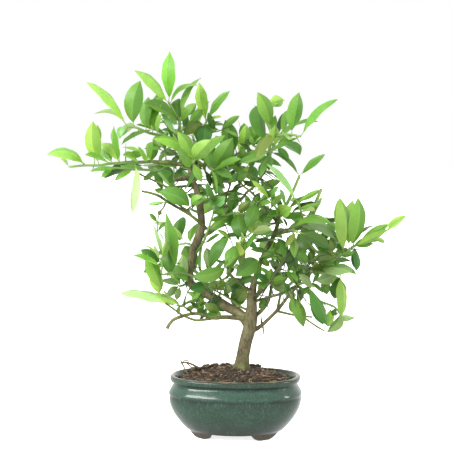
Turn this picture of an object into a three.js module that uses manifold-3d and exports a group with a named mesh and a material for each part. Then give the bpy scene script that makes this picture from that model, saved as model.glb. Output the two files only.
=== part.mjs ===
// Limequat bonsai in an oval glazed pot: pot, soil, one woody trunk with its limbs, and leafy shoots.
// Millimetres, +Z up. The front of the tree faces -Y.

import * as THREE from "three";
import Module from "manifold-3d";

const wasm = await Module();
wasm.setup();

// Driving dimensions of the pot

const POT = {
  bodyWidth: 170.4,
  bodyDepth: 133.2,
  height: 79,
  wall: 4.8,
  floorTop: 16,
  footHeight: 10,
  turnDegrees: -8,
  outlinePower: 2.35,
  segments: 28,
};
const FOOT = {
  across: 40,
  back: 20,
  halfWidth: 13.5,
  halfDepth: 8.5,
  sunk: 3.5,
  roundedEdge: 2,
  sides: 10,
  power: 2.6,
};
const DRAIN = { across: 16, radius: 6, sides: 8 };

// Shares of the body's half width and depth at each height, from the foot ring up to the lip
const POT_OUTSIDE = [
  [10, 0.634, 0.616],
  [13, 0.675, 0.668],
  [25, 0.81, 0.811],
  [38, 0.927, 0.931],
  [49.5, 1, 1],
  [62, 0.957, 0.958],
  [69, 0.935, 0.932],
  [71.5, 0.972, 0.974],
  [77, 0.983, 0.985],
];
const LIP_TOP = [79, 0.97, 0.97];
const INNER_LIP = [79, 0.912, 0.9];
const INNER_HEIGHTS = [69, 38];

// Driving dimensions of the soil, which is heaped round the trunk

const SOIL = { edgeHeight: 71, crownHeight: 87.5, rings: 4, bump: 1.5, gap: 0.4 };

// Driving dimensions of the leaves and of the gaps kept between neighbours

const LEAF = {
  widthToLength: 0.37,
  middleThickness: 1.5,
  edgeRise: 0.26,
  arch: 0.06,
  petioleRadius: 0.85,
};
const LARGE_LEAF = 75;
const GAP = 0.35;

// Where each station lies along a leaf, and its share of the half width
const LARGE_STATIONS = [
  [0.3, 0.8],
  [0.55, 1],
  [0.8, 0.68],
];
const SMALL_STATIONS = [
  [0.36, 0.86],
  [0.7, 0.86],
];

// A leaf that would cross a neighbour is bent nearer or farther by these steps until it is clear
const DEPTH_STEP = 6;
const TURN_STEP = 15;
const TRIES = [0, 1, -1, 2, -2, 3, -3, 4, -4, 5, -5, 6, -6];

// Places on the tree are written as they look from the front: across and up on the upright plane
// through the middle of the pot, then the depth behind that plane. The eye is 1.8 m in front of it.
const EYE = new THREE.Vector3(-12, -1800, 377);
const UP = new THREE.Vector3(0, 0, 1);

function seen([across, up, depth]) {
  const reach = 1 - depth / EYE.y;
  return new THREE.Vector3(across, 0, up).sub(EYE).multiplyScalar(reach).add(EYE);
}

// Limbs of the trunk: each row is across, up, depth, radius. A limb starts inside the one that bears it.

const LIMBS = {
  trunk: [
    [8, 56, 0, 10],
    [8, 84, 0, 12],
    [8.5, 93, 0, 9.8],
    [10, 104, 0, 8.6],
    [13, 120, 0, 8.3],
    [17, 134, 0, 8.7],
    [20, 150, 0, 8.6],
    [21, 166, 0, 7],
    [21, 180, -2, 6],
    [23, 192, -4, 4.7],
    [26, 205, -6, 3.5],
    [36, 233, -10, 3],
    [43, 246, -12, 3],
    [50, 259, -14, 3],
    [54, 272, -15, 2.8],
    [55, 284, -15, 2.2],
  ],
  left_limb: [
    [15, 145, 0, 6.4],
    [6, 157, 2, 6.6],
    [-12, 167, 8, 6.4],
    [-30, 179, 13, 6.2],
    [-44, 187, 15, 6],
    [-57.5, 197, 15, 5.7],
    [-59, 209, 13, 5.4],
    [-56.5, 221, 10, 5.6],
    [-53, 240, 6, 5.8],
    [-46, 259, 3, 6],
    [-43, 273, 2, 4.6],
    [-45, 291, 4, 5],
    [-48, 312, 7, 4.4],
    [-55, 330, 9, 3.8],
    [-58, 346, 10, 3.1],
    [-57, 357, 10, 2.6],
  ],
  front_leader: [[-58, 344, 10, 2.8], [-66, 366, 4, 2.4], [-74, 384, -4, 2]],
  rear_leader: [[-57, 352, 10, 2.4], [-48, 368, 18, 2.1], [-42, 384, 24, 1.8]],
  crown_side: [[-57, 345, 10, 2.4], [-36, 350, 20, 2.1], [-17, 354, 28, 1.8]],
  left_bough: [[-58, 345, 8, 2.4], [-68, 349, 3, 2.2], [-93, 352, -4, 2], [-109, 353, -6, 1.7]],
  crown_stub: [[-57, 332, 9, 3], [-69, 331, 2, 3.6], [-79, 330, -3, 3.2]],
  low_crown_twig: [
    [-51, 322, 8, 1.6],
    [-72, 321, -4, 1.4],
    [-87, 320, -9, 1.3],
    [-95, 325, -11, 1.2],
    [-103, 328, -13, 1.1],
    [-123, 337, -18, 0.9],
  ],
  crossing_twig: [
    [-37, 267, 2, 1.9],
    [-47, 276, -8, 1.8],
    [-60, 286, -13, 1.6],
    [-72, 293, -17, 1.6],
    [-86, 301, -21, 1.5],
    [-98, 309, -25, 1.5],
    [-110, 313, -28, 1.4],
    [-120, 315, -30, 1.3],
  ],
  crossing_fork: [[-57, 285, -12, 1.4], [-60, 289, -15, 1.3], [-68, 294.5, -18, 1.2], [-76, 300.5, -22, 1]],
  bud_twig: [
    [-89, 302, -22, 1.1],
    [-91.5, 295, -24, 0.9],
    [-95, 290.5, -25, 0.9],
    [-96.8, 287.5, -25, 2.4],
    [-98, 284.5, -25, 1.1],
  ],
  trunk_stub: [[-42, 257, 4, 2], [-32, 262, 5, 1.9], [-23, 268, 8, 1.7], [-13, 272, 11, 1.5]],
  web_riser: [
    [-33, 262, 5, 1.5],
    [-22, 280, 14, 1.3],
    [-14, 296, 19, 1.2],
    [-11, 310, 21, 1.1],
    [-7, 322, 22, 1],
    [-5, 331, 23, 0.9],
  ],
  web_cross: [
    [-46, 300, 5, 1.5],
    [-30, 307, 10, 1.3],
    [-14, 312, 12, 1.2],
    [1, 318, 12, 1.1],
    [10, 322, 11, 1],
    [20, 327, 10, 0.9],
  ],
  web_back: [
    [54, 274, -15, 1.6],
    [42, 290, -10, 1.4],
    [35, 298, -7, 1.3],
    [22, 312, -2, 1.2],
    [10, 322, 1, 1.1],
    [0, 332, 4, 1],
  ],
  right_crown_riser: [
    [-14, 296, 19, 1.4],
    [6, 303, -2, 1.4],
    [14, 313, -10, 1.4],
    [24, 321, -13, 1.4],
    [30, 330, -15, 1.4],
    [38, 341, -17, 1.4],
    [42, 361, -20, 1.3],
  ],
  low_left_limb: [
    [12, 151, -3, 3],
    [-12, 153, -9, 2.4],
    [-28, 152, -12, 2.2],
    [-46, 157, -15, 1.9],
    [-58, 157, -17, 1.8],
    [-77, 151, -22, 1.9],
    [-84, 145, -24, 1.9],
    [-88, 138, -25, 2],
  ],
  low_left_fork: [
    [-26, 152, -12, 1.7],
    [-46, 149, -21, 1.4],
    [-55, 150, -24, 1.3],
    [-69, 156, -28, 1.2],
    [-80, 164, -32, 1.1],
    [-90, 171, -35, 1],
  ],
  low_left_twig: [[-54, 157, -17, 1.2], [-61, 163, -26, 1.1], [-69, 169, -32, 1]],
  limb_shadow_twig: [
    [18, 161, -2, 1.5],
    [4, 168, -6, 1.3],
    [-6, 176, -3, 1.2],
    [-16, 182, 0, 1.1],
    [-27, 188, 2, 0.9],
  ],
  centre_twig: [
    [21, 178, -2, 2.1],
    [30, 184, -6, 1.9],
    [40, 200, -12, 1.8],
    [52, 212, -17, 1.7],
    [59, 223, -21, 1.5],
    [67, 234, -25, 1.3],
  ],
  low_twig: [
    [23, 173, -2, 1.7],
    [45, 179, -14, 1.5],
    [58, 183, -20, 1.4],
    [71, 190, -26, 1.3],
    [80, 195, -30, 1.2],
  ],
  rear_twig: [
    [22, 152, 0, 2.3],
    [32, 160, 4, 2.2],
    [41, 171, 8, 2],
    [45, 184, 12, 1.8],
    [49, 205, 17, 1.6],
    [55, 216, 20, 1.4],
    [60, 224, 22, 1.2],
  ],
  low_right_limb: [
    [18, 134, 0, 3],
    [28, 138, 2, 2.8],
    [40, 148, 4, 2.5],
    [54, 162, 8, 2.4],
    [68, 180, 12, 2.2],
    [80, 193, 15, 1.9],
    [84, 201, 16, 1.7],
    [91, 212, 18, 1.5],
  ],
  bare_twig: [[53, 161, 8, 1.5], [65, 158, 0, 1.3], [80, 155, -6, 1.2], [99, 153, -12, 1]],
  bare_fork: [[86, 154, -8, 1.2], [103, 142, -16, 1], [115, 135, -22, 0.9]],
  dead_twig_up: [[34, 143, 3, 1.1], [33, 153, -5, 0.8]],
  dead_twig_down: [[35, 144, 3, 1.1], [37, 130, -6, 0.7]],
  right_bough: [[51, 261, -14, 2.5], [68, 264, -10, 2.2], [82, 268, -6, 1.9], [90, 275, -4, 1.7]],
  node_twig: [[22, 184, -3, 1.9], [4, 198, -12, 1.6], [-6, 208, -18, 1.5], [-6, 218, -20, 1.3]],
  node_fork: [[-5, 208, -17, 1.2], [-17, 201, -22, 1], [-24, 196, -25, 0.9]],
};
const THICK_LIMBS = ["trunk", "left_limb"];
const LIMB_SIDES = { thick: 8, thin: 5, twig: 4 };
const TWIG_RADIUS = 1.75;

// Leafy shoots. A stem row is across, up, depth. A leaf row is the place on the stem (0 is its first point),
// the tip's across, up and depth, the width that shows from the front (negative where the pale underside
// faces the front), the sideways bow, and a twist in degrees. A thorn row is a place on the stem and a tip.
// Extra leaves are set round the stem by rule. Stems of one name are one piece: the later grows from the first.

const SHOOTS = [
  {
    name: "shoot_left_tip",
    radii: [1.5, 0.9],
    stem: [
      [-109, 353, -6],
      [-121, 352, -9],
      [-135, 352, -12],
      [-148, 351, -15],
      [-162, 350, -18],
      [-174, 348, -20],
      [-192, 348, -22],
      [-212, 346, -24],
    ],
    leaves: [
      [6, -240.5, 361.6, -38, 12.5, -7.8],
      [7, -223.5, 361, -12, 4, 0],
      [5, -181.5, 404, -26, 19, 3.5],
      [3, -155, 398.5, -34, 8.5, 1.5],
      [3, -170.5, 376.5, 8, 13, -3.5],
      [3.6, -175, 369, 12, 11, -2],
      [3.7, -192, 361.5, -44, 6, -3],
      [1.6, -132, 286, -28, 10.5, 4],
      [1.2, -144, 361, -40, 8, -4],
      [0.1, -124.5, 372, -30, 6, 1],
      [1.6, -130, 360, 12, 6, 0],
    ],
    thorns: [[2.4, -140, 378, -12], [0.4, -109, 376, -8], [5.4, -183, 339, -30]],
  },
  {
    name: "shoot_left_under",
    radii: [1.3, 0.8],
    stem: [
      [-86, 351, -2],
      [-95, 342, 2],
      [-109, 342, 4],
      [-126, 343, 6],
      [-141, 344, 8],
      [-155, 345, 10],
    ],
    leaves: [
      [3.3, -154.6, 328.6, 2, 7.5, -1],
      [5, -171.6, 332.6, 20, 6.5, -1],
      [4.4, -186, 340.5, 6, 5, -1.5],
      [2.2, -147, 348, 28, 8, 0],
      [1.6, -93, 317, -14, 9, 0],
      [1, -118, 331, 30, 8, 0],
    ],
    thorns: [],
  },
  {
    name: "shoot_upper_left",
    radii: [1.4, 0.9],
    stem: [
      [-71, 377, -1],
      [-90, 384, -18],
      [-100, 387, -30],
      [-109, 389, -40],
      [-119, 393, -52],
      [-126, 396, -60],
      [-138, 398, -68],
    ],
    leaves: [
      [6, -190, 454, -84, 10.5, -5],
      [6, -180, 413.5, -62, 5, -10.6],
      [5.3, -121, 456, -72, 21.5, 4.8],
      [3.5, -111, 435, -24, 14, 2.3],
      [2.7, -103, 423, -12, 9, 0],
      [4.7, -146.5, 390, -30, 8, -5],
      [6, -147.5, 382, -46, 8.5, -4.3],
      [3.2, -94, 437, -4, 16, 4],
      [2, -94, 413, -62, 6, 2.5],
    ],
    thorns: [[4.5, -131, 381, -66], [1.2, -95, 373, -26]],
  },
  {
    name: "shoot_top",
    radii: [1.4, 1],
    stem: [[-74, 383, -4], [-71, 402, -8], [-78, 416, -10], [-85, 428, -11]],
    leaves: [
      [3, -83.5, 493, -18, 16.5, 1],
      [2.9, -128, 468.5, -34, 12.5, -3],
      [2.8, -48, 450, -4, 6, 9],
      [1, -44, 459, 12, 5.5, 7],
      [1, -71, 433, 6, 17, 3],
      [1, -116.5, 427, -40, 13, -7],
      [0.3, -95, 415, -30, 7, 1],
      [1, -50, 427, -26, 9, 2.5],
    ],
    thorns: [[1.4, -73, 411, -24]],
  },
  {
    name: "shoot_rear_top",
    radii: [1.6, 1],
    stem: [[-42, 384, 24], [-40, 393, 28], [-37, 405, 32]],
    leaves: [
      [2, -46, 453, 30, 15, 1],
      [2, -6.5, 443, 22, 10, 3],
      [2, -18, 409.3, 6, 3.5, 1.5],
      [1.7, -42, 371, -4, 19, 0],
      [1.6, -66.5, 385.5, 8, 15, -5],
      [1.9, -54, 416, 50, 2.5, -6],
      [1.2, -51, 392, 48, 13, 0],
    ],
    thorns: [[1, -29, 396, 20]],
  },
  {
    name: "shoot_crown_side",
    radii: [1.6, 1],
    stem: [[-17, 354, 28], [-4, 359, 33], [10, 367, 38], [19, 376, 43]],
    leaves: [
      [1, -13, 406, 20, 20, -2],
      [2, 13.5, 400.5, 20, 14, 0],
      [2.3, 22, 398, 62, 10, 0],
      [0.2, 28, 326, 6, 10, 1],
      [3, 37, 404, 40, 13, 0],
      [3, 40, 380, 76, 12, 0],
      [2.4, 33, 351, 20, 12, 0],
    ],
    thorns: [[2.6, 3, 407, 34], [1.4, -1, 378, 24]],
  },
  {
    name: "shoot_crown_front",
    radii: [1.6, 1.1],
    stem: [[-57, 348, 8], [-55, 351, -16], [-54, 352, -38], [-53, 353, -58]],
    leaves: [
      [3, -30, 381, -92, 19.5, 2.5],
      [2.8, -74, 391, -66, 15, -2.3],
      [2, -106, 382, -58, 12, -8],
      [1, -66, 316, -34, 5, 5],
      [3, -76, 368, -104, 14, 3],
      [2, -43, 326, -46, 10, 0],
      [0.8, -13, 386, -14, 12, 3],
    ],
    thorns: [[2, -44, 340, -40]],
  },
  {
    name: "shoot_crown_middle",
    radii: [1.3, 0.9],
    stem: [[-36, 350, 20], [-34, 346, 6], [-31, 343, -8], [-28, 342, -22]],
    leaves: [
      [0.2, -24, 406, 30, 3.5, 0],
      [2, -3.2, 383.5, -32, 20.5, -1],
      [1.6, -23, 313, -12, 3.5, 2.5],
      [1.8, -14, 318, 6, 4, 0],
      [3, 8, 356, -44, 8, 3],
      [3, -36, 366, -56, 13, 0],
      [2.5, -4, 331, -30, 10, 3],
    ],
    thorns: [],
  },
  {
    name: "shoot_upper_right",
    radii: [1.5, 1],
    stem: [[42, 361, -20], [44, 372, -24], [45, 386, -28], [45, 395, -30]],
    leaves: [
      [0.5, 43, 341, -30, 9, 0],
      [3, 28, 441.3, -44, 17.5, -2.5],
      [3, 63, 431, -26, 11, 16],
      [1.2, 30, 425, 4, 17, 8],
      [1, 51, 400, -40, 10, 0],
      [2.6, 26, 357, -52, 13.5, 0],
      [0.6, 4, 351, -42, 10, 1],
      [0.3, 31, 332, -34, 10, 0],
    ],
    thorns: [[2.4, 58, 411, -44], [0.8, 56, 366, -30]],
  },
  {
    name: "shoot_upper_right",
    radii: [1.3, 0.9],
    stem: [[45, 384, -27], [62, 387, -42], [72, 387, -54], [83, 385, -64]],
    leaves: [
      [2, 81.3, 441.2, -62, 18, 1.5],
      [3, 130, 432, -84, 8.5, 5.6],
      [3, 47.5, 366, -66, 5, -1.7],
      [1.4, 68, 381, -86, 9, 0],
      [0.9, 66, 418, -30, 9, 1],
    ],
    thorns: [[2.5, 83, 375, -50]],
  },
  {
    name: "shoot_upright",
    radii: [1.6, 1.2],
    stem: [[54, 276, -15], [59, 287, -12], [67, 301, -6], [75, 318, 0], [82, 335, 6]],
    leaves: [
      [4, 114.5, 362.5, 10, 9, 1.2],
      [4, 46, 364, 22, 4, -5],
      [1.6, 56, 318, -30, 5, -1.5],
      [0.7, 73, 294, -48, 17, 3],
      [2.2, 84, 300, 30, 9, 0],
    ],
    thorns: [[3.8, 88, 331, 2]],
  },
  {
    name: "shoot_long_strap",
    radii: [1.2, 0.9],
    stem: [[83, 268.8, -6], [86, 280, -18], [83, 292, -27], [80, 301, -32]],
    leaves: [
      [3, 40, 350, -42, 6.5, -2.4],
      [1.8, 102, 290, -54, 6, 2],
    ],
    thorns: [],
  },
  {
    name: "shoot_left_strap",
    radii: [1.2, 0.9],
    stem: [[55, 282, -15], [54, 290, -26], [45, 304, -32]],
    leaves: [
      [2, 20, 329, -46, 6.5, -1.5],
      [2, 56, 321, -50, 5, 2.5],
      [1, 41, 284, -48, 8, 2],
    ],
    thorns: [],
  },
  {
    name: "shoot_cut_high",
    radii: [1.7, 1.4],
    stem: [[89, 274, -4], [94, 282, 1], [101, 296, 4], [110, 318, 9]],
    leaves: [
      [2.8, 69, 293, 0, 5, -4],
      [1.2, 60, 283, 22, 9, 0],
    ],
    thorns: [],
  },
  {
    name: "shoot_cut_low",
    radii: [1.5, 1.2],
    stem: [[87, 272.3, -5], [96, 279, -13], [103, 292, -17], [110, 306, -20]],
    leaves: [
      [2.7, 72, 287, -34, 5, -4],
    ],
    thorns: [[2.7, 115, 299, -18]],
  },
  {
    name: "shoot_right_front",
    radii: [1.5, 1],
    stem: [[68, 264, -10], [71, 264, -26], [75, 264, -42], [80, 263, -56]],
    leaves: [
      [1, 123, 273, -46, 9, 11],
      [3, 122, 241, -70, 14, 3],
      [3, 91, 237, -76, 12, 0],
      [1.8, 76, 229, -50, 11, 0],
      [1.2, 82, 228, -24, -7, 0],
      [2.4, 110, 252, -44, 12, 2],
      [2.2, 65, 243, -62, 8, 0],
    ],
    thorns: [[2.4, 86, 252, -50]],
  },
  {
    name: "shoot_far_right",
    radii: [1.6, 1.3],
    stem: [
      [85, 270, -6],
      [88, 258, 2],
      [96, 246, 8],
      [105, 237, 12],
      [122, 232, 16],
      [137, 233, 19],
      [148, 241, 21],
    ],
    leaves: [
      [5.2, 133.3, 306.7, 0, 19, -1.5],
      [6, 157, 307, 8, 20, -3],
      [5.9, 151, 303.5, 38, 18, 3],
      [6, 219, 283, 4, 14, 0, 215],
      [6, 179.5, 270, 40, 2.5, 6],
      [6, 154, 212, 8, 8, 5],
      [5.8, 192, 250.6, 34, 8, 7],
      [5.2, 85, 270, -12, -10, -14],
      [5.4, 98, 226, -8, 10, -1.5],
      [4.2, 121, 257, 2, 6, 0],
      [4, 128, 262, 40, 11, 0],
      [3, 92, 228, 44, 11, 0],
    ],
    thorns: [[3.2, 123, 228, 0], [5.3, 142, 225, 26], [6, 180, 240.8, 34]],
  },
  {
    name: "shoot_right_hanging",
    radii: [1.4, 1],
    stem: [[90, 210, 18], [97, 215, 12], [109, 213, 6], [122, 210, 2], [135, 208, -2]],
    leaves: [
      [0.9, 116, 219.5, -2, 7, 1],
      [1, 144.5, 212, -14, 8, 2.5],
      [1.8, 149, 210, -38, -12, 2],
      [2.6, 118, 183, -16, 8, 0],
      [4, 127.5, 176.5, 8, 17, 0],
      [3.8, 103.5, 199.5, -34, 15, 1],
      [4, 136, 153, -22, 13, 1],
      [3.2, 137, 188, 26, 11, 0],
    ],
    thorns: [],
  },
  {
    name: "shoot_right_tip",
    radii: [1.3, 0.9],
    stem: [
      [80, 193, 15],
      [90, 187, 26],
      [99, 180, 30],
      [110, 173, 28],
      [126, 167, 22],
      [133, 160, 16],
    ],
    leaves: [
      [5, 154, 153, 4, 8, -5],
      [4.3, 126, 154, 16, 7, 0],
      [5, 117, 133, -10, 13, 7],
    ],
    thorns: [[3.2, 121, 161, 34], [3, 124, 150.5, 30], [5, 124.5, 150.5, 26]],
  },
  {
    name: "shoot_low_right",
    radii: [1.3, 1],
    stem: [[80, 195, -30], [88, 197, -34], [95, 195, -38], [101, 192, -40]],
    leaves: [
      [2, 118, 142, -54, 14.5, -1.5],
      [3, 81, 208.5, -58, 10, 0],
      [0.6, 82.5, 172, -24, 9, 0],
    ],
    thorns: [],
  },
  {
    name: "shoot_low_light",
    radii: [1.2, 0.9],
    stem: [[71, 190, -26], [70, 184, -36]],
    leaves: [
      [1, 88, 140, -48, 15, 2],
      [0.8, 62, 196, -60, 9, 0],
    ],
    thorns: [],
  },
  {
    name: "shoot_centre_right",
    radii: [1.3, 0.9],
    stem: [[67, 234, -25], [72, 240, -32], [76, 246, -42]],
    leaves: [
      [0.7, 69, 214, -46, 10, 0],
      [1, 79, 214, -40, 8, 0],
      [2, 92, 222, -60, 12, 0],
      [2, 64, 222, -66, 10, 0],
    ],
    thorns: [],
  },
  {
    name: "shoot_centre_limb",
    radii: [1.2, 0.8],
    stem: [[46, 252, -13], [50, 253, -26], [52, 253, -38]],
    leaves: [
      [2, 62, 229, -56, 8, 5],
      [1.2, 24, 249, -40, 5, -2],
    ],
    thorns: [],
  },
  {
    name: "shoot_left_hanging",
    radii: [1.1, 0.8],
    stem: [[52, 274, -15], [35, 271, -28], [22, 263, -40], [12, 255, -50], [1, 246, -58]],
    leaves: [
      [4, -3, 228, -88, 14, 1],
      [3.6, 6, 232, -92, 10, 0],
      [4, -13.5, 225, -74, 9, -1],
      [3.2, 6, 218, -66, 10, 0],
      [2.2, 47, 266, -66, 10, 2],
      [1.6, 14, 240, -64, 7, 0],
      [2.8, 27, 243, -36, 4, 0],
      [0.7, 17, 262, -4, 15, -6],
    ],
    thorns: [],
  },
  {
    name: "shoot_middle",
    radii: [1.2, 0.9],
    stem: [[35, 298, -7], [32, 300, -20], [28, 301, -34]],
    leaves: [
      [2, 15, 268, -50, 17, 0],
      [1.5, 46, 300, -50, 8, 0],
    ],
    thorns: [[1, 38, 306, -20]],
  },
  {
    name: "shoot_web",
    radii: [1, 0.8],
    stem: [[22, 312, -2], [24, 314, -9]],
    leaves: [
      [1, 59, 328.5, -12, 10.5, 1.5],
    ],
    thorns: [],
  },
  {
    name: "shoot_middle_left",
    radii: [1.3, 0.9],
    stem: [[-22, 280, 14], [-14, 283, 2], [-6, 286, -12], [2, 288, -26]],
    leaves: [
      [3, 19, 302, -40, 11, 0],
      [2, -1, 314, -6, 15, 0],
      [3, 11, 254.5, -62, 21, -1],
      [3, 3.7, 251, -44, 9, 0],
      [1, -13, 293, 40, 10, 0],
      [1.5, -30, 276, -34, 8, 0],
      [2.4, 10, 282, 6, 11, 0],
    ],
    thorns: [],
  },
  {
    name: "shoot_inner",
    radii: [1.2, 0.8],
    stem: [
      [-50, 236, 3],
      [-42, 248, -9],
      [-36, 262, -13],
      [-32, 275, -15],
      [-28, 287, -16],
      [-27, 298, -17],
    ],
    leaves: [
      [1, -19, 261, -26, 4.5, 0],
      [5, -12.5, 308, -44, 13, 0],
      [5, -35.5, 300.5, -40, 9, 0],
      [4.4, -14, 286, -48, 10, 0],
      [5, -36, 326, -46, 9, 0],
    ],
    thorns: [[2.4, -25, 268, -22]],
  },
  {
    name: "shoot_trunk_left",
    radii: [1.3, 1],
    stem: [[-45, 287, 4], [-53, 290, -9], [-56.5, 291.5, -18]],
    leaves: [
      [2, -98, 314, -30, 19.5, -6.4],
      [1.5, -36, 306, -36, 12, 7.5],
    ],
    thorns: [],
  },
  {
    name: "shoot_crossing",
    radii: [1, 0.8],
    stem: [[-86, 301, -21], [-90, 301, -29]],
    leaves: [
      [1, -111.5, 297, -36, 3.5, -1.2],
    ],
    thorns: [],
  },
  {
    name: "shoot_pale_front",
    radii: [1.2, 0.8],
    stem: [
      [-30, 181, 12],
      [-36, 192, -6],
      [-46, 201, -12],
      [-63, 209, -16],
      [-80, 211, -26],
      [-94, 208, -34],
      [-94, 218, -40],
      [-96, 228, -46],
    ],
    leaves: [
      [4, -89, 287, -40, 15, -3.5],
      [7, -105, 272, -58, 5, -3],
      [7, -106, 246, -66, 4, 0],
      [7, -88, 252, -28, 8, -2],
      [6.8, -120, 246, -48, 2, -3.8],
      [6, -132, 233, -56, 6.5, -3],
      [1.2, -58, 188, -40, 14, 0],
      [1.6, -58, 173, -28, 6, 2],
      [1, -13, 187, -28, 8, 3],
    ],
    thorns: [[5, -101, 200, -38]],
  },
  {
    name: "shoot_pale_front",
    radii: [1, 0.8],
    stem: [[-36, 192, -6], [-36, 203, -14], [-34, 212, -18]],
    leaves: [
      [2, -8, 256, -34, 15, 5],
      [2, -37.5, 238.5, -6, 7, -1.5],
    ],
    thorns: [],
  },
  {
    name: "shoot_limb_bend",
    radii: [1.2, 0.9],
    stem: [[-60, 198, 15], [-67, 194, 6], [-71, 193, -2]],
    leaves: [
      [2, -94, 199, -8, 8, -3],
      [2, -86, 186, 12, 8, 0],
      [2, -76, 175, -6, 8, 0],
      [1.6, -82, 211, 14, 10, 0],
      [1, -68, 234, 30, 14, 0],
    ],
    thorns: [],
  },
  {
    name: "shoot_left_low",
    radii: [1.4, 0.9],
    stem: [
      [-38, 181, 13],
      [-47, 175, 1],
      [-56, 174, -6],
      [-63, 171, -14],
      [-71, 167, -22],
      [-77, 174, -26],
      [-86, 180, -30],
      [-91, 186, -34],
    ],
    leaves: [
      [4, -151, 184, -46, 12, -4],
      [7, -113, 234, -46, 17, 2],
      [4.2, -74, 156, -34, 5, 0],
      [2, -49, 164, -28, 6, 0],
    ],
    thorns: [[6, -89, 170, -26]],
  },
  {
    name: "shoot_low_left_limb",
    radii: [1.2, 0.9],
    stem: [[-19, 153, -11], [-20, 159, -20]],
    leaves: [
      [1, -40, 169, -34, 12, -0.5],
      [1, -37, 155, -44, 6, 0],
    ],
    thorns: [],
  },
  {
    name: "shoot_node",
    radii: [1.2, 0.9],
    stem: [[-6, 216, -20], [-8, 220, -28], [-10, 220, -36]],
    leaves: [
      [2, -54, 206, -50, 17, 5],
      [1.6, -25, 227, -32, 4, 0],
      [1.4, 8, 215, -44, 4, 0],
    ],
    thorns: [[1.6, -3, 232, -36]],
  },
  {
    name: "shoot_low_centre",
    radii: [1.3, 0.9],
    stem: [[23, 197, -4], [16, 201, 4], [11, 204, 10]],
    leaves: [
      [2, -4, 184, 24, 19, 0],
      [1.2, -7, 176, 10, 10, 0],
      [2, -1, 196, 38, 12, 0],
      [1.6, 2, 222, 34, 9, 0],
    ],
    thorns: [],
  },
  {
    name: "shoot_low_front",
    radii: [1.1, 0.8],
    stem: [[20, 172, 2], [16, 176, 10]],
    leaves: [
      [1, -7, 176, 18, 13, 2],
    ],
    thorns: [],
  },
  {
    name: "shoot_centre_left",
    radii: [1.2, 0.9],
    stem: [[34, 229, -9], [31, 229, -20]],
    leaves: [
      [1, 0, 206, -50, 21, 0],
      [0.6, 51, 237, -26, 9, 0],
      [0.6, 44, 219, -24, 8, 0],
      [0.9, 26, 198, -30, 9, 0],
    ],
    thorns: [],
  },
  {
    name: "shoot_low_fork",
    radii: [1.2, 0.9],
    stem: [[40, 200, -12], [44, 198, -24]],
    leaves: [
      [1, 26, 209, -42, 9, 0],
      [1, 66, 204, -44, 10, 0],
      [1, 70, 192, -58, 14, -1.5],
      [1, 46, 217, -30, 7, 0],
      [1, 30, 192, -46, 8, 0],
    ],
    thorns: [],
  },
  {
    name: "shoot_back_crown_left",
    radii: [1.5, 0.9],
    stem: [[-66, 366, 4], [-80, 380, 30], [-96, 390, 55], [-106, 396, 78]],
    extra: 6,
  },
  {
    name: "shoot_back_crown_middle",
    radii: [1.5, 0.9],
    stem: [[-50, 365, 16], [-52, 376, 48], [-54, 384, 80], [-55, 388, 106]],
    extra: 7,
  },
  {
    name: "shoot_back_crown_right",
    radii: [1.4, 0.9],
    stem: [[-19, 353, 27], [-8, 350, 54], [2, 350, 78], [8, 352, 98]],
    extra: 7,
  },
  {
    name: "shoot_back_left",
    radii: [1.3, 0.9],
    stem: [[-93, 352, -4], [-104, 349, 28], [-116, 348, 56]],
    extra: 6,
  },
  {
    name: "shoot_back_upper_right",
    radii: [1.3, 0.9],
    stem: [[40, 351, -18], [47, 368, 14], [52, 380, 42], [54, 386, 64]],
    extra: 6,
  },
  {
    name: "shoot_back_centre",
    radii: [1.4, 0.9],
    stem: [[43, 246, -12], [36, 250, 22], [28, 254, 52], [20, 256, 78]],
    extra: 6,
  },
  {
    name: "shoot_back_right",
    radii: [1.4, 0.9],
    stem: [[78, 267, -7], [88, 266, 28], [96, 258, 58], [102, 252, 84]],
    extra: 7,
  },
  {
    name: "shoot_back_right_low",
    radii: [1.4, 0.9],
    stem: [[88, 208, 17], [97, 210, 48], [104, 214, 78], [108, 217, 102]],
    extra: 6,
  },
  {
    name: "shoot_back_low_right",
    radii: [1.3, 0.9],
    stem: [[54, 162, 8], [58, 182, 38], [62, 196, 64]],
    extra: 5,
  },
  {
    name: "shoot_back_low_left",
    radii: [1.3, 0.9],
    stem: [[-30, 179, 13], [-36, 194, 44], [-44, 204, 72]],
    extra: 5,
  },
  {
    name: "shoot_back_left_middle",
    radii: [1.3, 0.9],
    stem: [[-52, 243, 5], [-62, 248, 36], [-74, 246, 64]],
    extra: 5,
  },
  {
    name: "shoot_back_upper_middle",
    radii: [1.3, 0.9],
    stem: [[-46, 297, 5], [-34, 302, 38], [-22, 306, 68]],
    extra: 5,
  },
];
const STEM_SIDES = 4;
const RULE_SEED = 20611;

// Finishes, as plain colours

const FINISHES = {
  glaze: { color: 0x2f6b5b, roughness: 0.25, metalness: 0 },
  soil: { color: 0x4a3526, roughness: 0.95, metalness: 0 },
  bark: { color: 0x7a6a4c, roughness: 0.85, metalness: 0 },
  leaf: { color: 0x6cb03a, roughness: 0.45, metalness: 0 },
};

// Solids

// Makes a closed solid from shared points and triangles, turned so that its faces point out.
function solidOf(points, faces) {
  let volume = 0;
  for (const [a, b, c] of faces) {
    volume += points[a].dot(new THREE.Vector3().crossVectors(points[b], points[c]));
  }
  const outward = volume < 0 ? faces.map(([a, b, c]) => [a, c, b]) : faces;
  const mesh = new wasm.Mesh({
    numProp: 3,
    vertProperties: new Float32Array(points.flatMap((point) => point.toArray())),
    triVerts: new Uint32Array(outward.flat()),
  });
  return new wasm.Manifold(mesh);
}

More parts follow.
